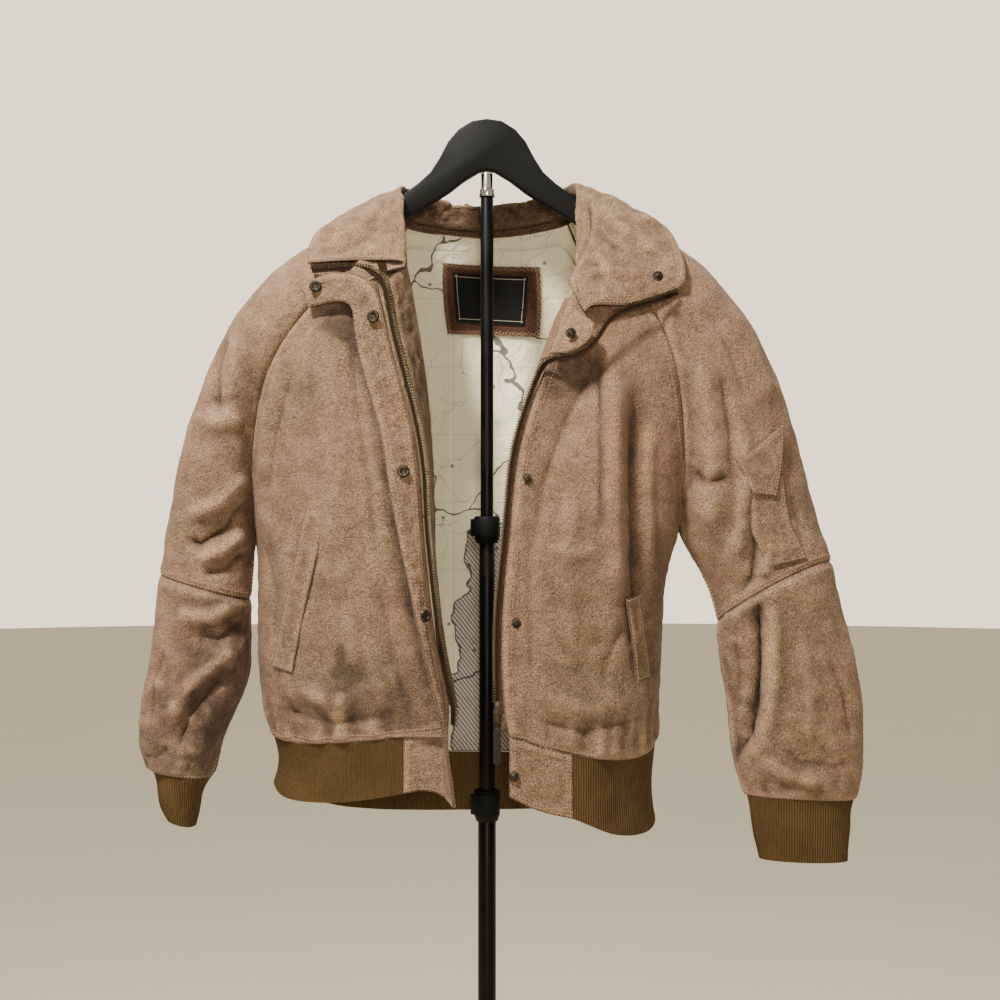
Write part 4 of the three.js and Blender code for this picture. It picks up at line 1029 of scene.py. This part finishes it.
# ---------------------------------------------------------------- zip
# Brass teeth crimped on a dark brown woven tape along both front edges.
TOOTH_PITCH = 0.0030
TAPE_WALL = 0.0012
antique_brass, brass_tree, brass_surface = new_finish("antique_brass", 0.42, metallic=0.75)
brass_place = place_of(brass_tree)
tarnish = speckle(brass_tree, brass_place, 300, 4, 0.6)
colour_and_relief(brass_tree, brass_surface,
                  tint(brass_tree, ramp(brass_tree, tarnish, 0.35, 0.65), shade(20, 16, 12),
                       shade(70, 60, 46)),
                  relief(brass_tree, tarnish, 0.0001), ramp(brass_tree, tarnish, 0.3, 0.7, 0.5, 0.3))
tooth_brass, tooth_tree, tooth_surface = new_finish("tooth_brass", 0.35, metallic=0.9)
tooth_rub = speckle(tooth_tree, place_of(tooth_tree), 500, 2)
colour_and_relief(tooth_tree, tooth_surface,
                  tint(tooth_tree, tooth_rub, shade(34, 26, 17), shade(112, 98, 74)))
zip_twill, twill_tree, twill_surface = new_finish("brown_twill", 0.9, specular=0.1)
twill_place = place_of(twill_tree)
twill_weave = part(twill_tree, "TexWave", {"Vector": twill_place, "Scale": 260, "Distortion": 1.0},
                   bands_direction="DIAGONAL").outputs["Fac"]
colour_and_relief(twill_tree, twill_surface,
                  tint(twill_tree, twill_weave, shade(27, 18, 12), shade(48, 33, 23)),
                  relief(twill_tree, twill_weave, 0.0003))


def tooth_block(centre, way, out, up):
    """Eight corners of one tooth, its outer end a little narrower."""
    corners = []
    for step, taper in ((-1, 1.0), (1, 0.72)):
        for a in (-1, 1):
            for b in (-1, 1):
                corners.append(centre + out * step * 0.0019 + way * a * 0.00085 * taper
                               + up * b * 0.0012 * taper)
    return corners


BLOCK_FACES = ((0, 1, 3, 2), (4, 6, 7, 5), (0, 4, 5, 1), (2, 3, 7, 6), (0, 2, 6, 4), (1, 5, 7, 3))

for node, name, toward in (("right_zip_tape", "right_zip", 1), ("left_zip_tape", "left_zip", -1)):
    tape = skin(node, name + "_tape_cloth", TAPE_WALL, (0, -1, 0))
    sides = border_lines(tape, anywhere, shortest=0.0056)
    outer = max(sides, key=lambda side: toward * sum(co.x for co, _, _ in side if co.z < 1.25))
    points, faces = [], []
    travelled = 0.0
    for (a, normal, into), (b, _, _) in zip(outer[:-1], outer[1:]):
        span = (b - a).length
        if span > 0.04:
            continue
        way = (b - a).normalized()
        reach = -travelled % TOOTH_PITCH
        while reach < span:
            centre = a + way * reach - into * 0.0004 + normal * 0.0002
            faces += [[len(points) + k for k in face] for face in BLOCK_FACES]
            points += tooth_block(centre, way, -into, normal)
            reach += TOOTH_PITCH
        travelled += span
    mesh = bpy.data.meshes.new(name + "_teeth")
    mesh.from_pydata([tuple(p) for p in points], [], faces)
    teeth = bpy.data.objects.new(name + "_teeth", mesh)
    bpy.context.collection.objects.link(teeth)
    bpy.ops.object.select_all(action="DESELECT")
    teeth.select_set(True)
    bpy.context.view_layer.objects.active = teeth
    bpy.ops.object.mode_set(mode="EDIT")
    bpy.ops.mesh.select_all(action="SELECT")
    bpy.ops.mesh.normals_make_consistent(inside=False)
    bpy.ops.object.mode_set(mode="OBJECT")
    mesh.materials.append(tooth_brass)
    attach(teeth, "jacket")
    smooth(tape, 1)
    thicken(tape, TAPE_WALL, [zip_twill])
    stands_for(tape, node, "jacket")

# ---------------------------------------------------------------- pockets
# Slanted welt pockets in both fronts, and a small flapped pocket on the left sleeve.
POCKET_WALL = 0.0018
for node, name, flat, area, holder in (
        ("right_welt", "right_welt_leather", (0.028, 0.18), 0.0049, right_front),
        ("left_welt", "left_welt_leather", (0.031, 0.1), 0.0026, left_front),
        ("sleeve_pocket", "sleeve_pocket_leather", (0.05, 0.09), 0.004, left_upper),
        ("sleeve_pocket_flap", "sleeve_pocket_flap_leather", (0.045, 0.066), 0.0027, left_upper)):
    pocket = skin(node, name, POCKET_WALL, (0, -1, 0))
    smooth(pocket, 3)
    pocket_gap = seam_gap(pocket)
    crumple(pocket, pocket_gap, 16, 0.7, seed=79)
    puff(pocket, pocket_gap, 0.6)
    age(pocket, pocket_gap)
    pocket_seams = beside(pocket, anywhere, 2.4)
    finish_panel(pocket, node, [jacket_leather], wall=POCKET_WALL)
    stitches(name + "_stitching", pocket_seams)

# ---------------------------------------------------------------- lining and label
# The cotton back lining hangs in soft folds inside the back; the label is a pinked leather patch
# with a black woven badge, left blank but for its thin frame.
LINING_WALL = 0.001
PATCH_WALL = 0.0015
BADGE_WALL = 0.001
lining = skin("lining", "lining_cloth", LINING_WALL, (0, -1, 0))
smooth(lining, 3)
lining_gap = seam_gap(lining)
crease(lining, lining_gap, [
    (6, 8, [(-40, 1320), (-46, 1150), (-44, 950)]),
    (-4, 8, [(-24, 1330), (-28, 1150), (-26, 950)]),
    (5, 9, [(4, 1320), (-4, 1150), (0, 930)]),
    (4, 7, [(40, 1320), (34, 1200), (20, 1080)]),
    (-4, 8, [(60, 1330), (50, 1200), (36, 1060)]),
])
crumple(lining, lining_gap, 40, 2.2, seed=83)
crumple(lining, lining_gap, 14, 0.7, seed=89)
thicken(lining, LINING_WALL, [lining_cotton])
stands_for(lining, "lining", "jacket")

dark_leather = leather("dark_leather", (88, 52, 38), (128, 86, 64), (36, 20, 14), (80, 50, 36))
patch = skin("label_patch", "label_patch_leather", PATCH_WALL, (0, -1, 0))
smooth(patch, 4)
patch_form = bmesh.new()
patch_form.from_mesh(patch.data)
for line in border_lines(patch, anywhere):
    for k, (co, _, into) in enumerate(line):
        if k % 2:
            edge_points = (v for v in patch_form.verts if v.is_boundary)
            nearest = min(edge_points, key=lambda v: (v.co - co).length)
            nearest.co += into * 0.0012
patch_form.to_mesh(patch.data)
patch_form.free()
age(patch, seam_gap(patch))
patch_seams = beside(patch, anywhere, 5)
finish_panel(patch, "label_patch", [dark_leather],
             wall=PATCH_WALL)
stitches("label_patch_stitching", patch_seams)

black_weave, weave_tree, weave_surface = new_finish("black_weave", 0.65, specular=0.2)
weave_place = place_of(weave_tree)
satin = part(weave_tree, "TexWave", {"Vector": weave_place, "Scale": 330, "Distortion": 0.5},
             bands_direction="DIAGONAL").outputs["Fac"]
colour_and_relief(weave_tree, weave_surface, tint(weave_tree, satin, shade(6, 6, 6), shade(17, 16, 16)),
                  relief(weave_tree, satin, 0.0002))
badge = skin("label_woven", "label_badge", BADGE_WALL, (0, -1, 0))
smooth(badge, 3)
badge_frame = beside(badge, anywhere, 4)
finish_panel(badge, "label_woven", [black_weave],
             wall=BADGE_WALL)
pale_thread, pale_tree, pale_surface = new_finish("pale_thread", 0.7)
colour_and_relief(pale_tree, pale_surface,
                  tint(pale_tree, speckle(pale_tree, place_of(pale_tree), 900, 1), shade(150, 144, 128),
                       shade(200, 194, 176)))
stitches("label_badge_frame", badge_frame, finish=pale_thread, pitch=0.0016,
         length=0.0019)

# ---------------------------------------------------------------- snaps, slider and pull
# Antique brass ring snaps: sockets on the storm flap and studs on the left front, each riveted
# through the leather, and the zip's slider with its pull and leather lace.
lace_leather = leather("lace_leather", (40, 26, 21), (66, 46, 38), (18, 11, 8), (36, 24, 19))
for node in sorted(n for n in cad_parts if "snap" in n):
    ring = copied(node, node.replace("_snap_", "_ring_"))
    eased(ring, 0.0003, angle=25)
    smooth(ring, 2)
    bpy.ops.object.shade_smooth_by_angle(angle=math.radians(50))
    stands_for(ring, node, "jacket", antique_brass)

for node, body, finish, slot in (("zip_slider", "jacket", antique_brass, "antique_brass"),
                                 ("pull_tab", "pull", antique_brass, "antique_brass"),
                                 ("leather_pull", "pull", lace_leather, "dark_leather")):
    fitting = copied(node, node + "_piece")
    eased(fitting, 0.0005)
    stands_for(fitting, node, body, finish)
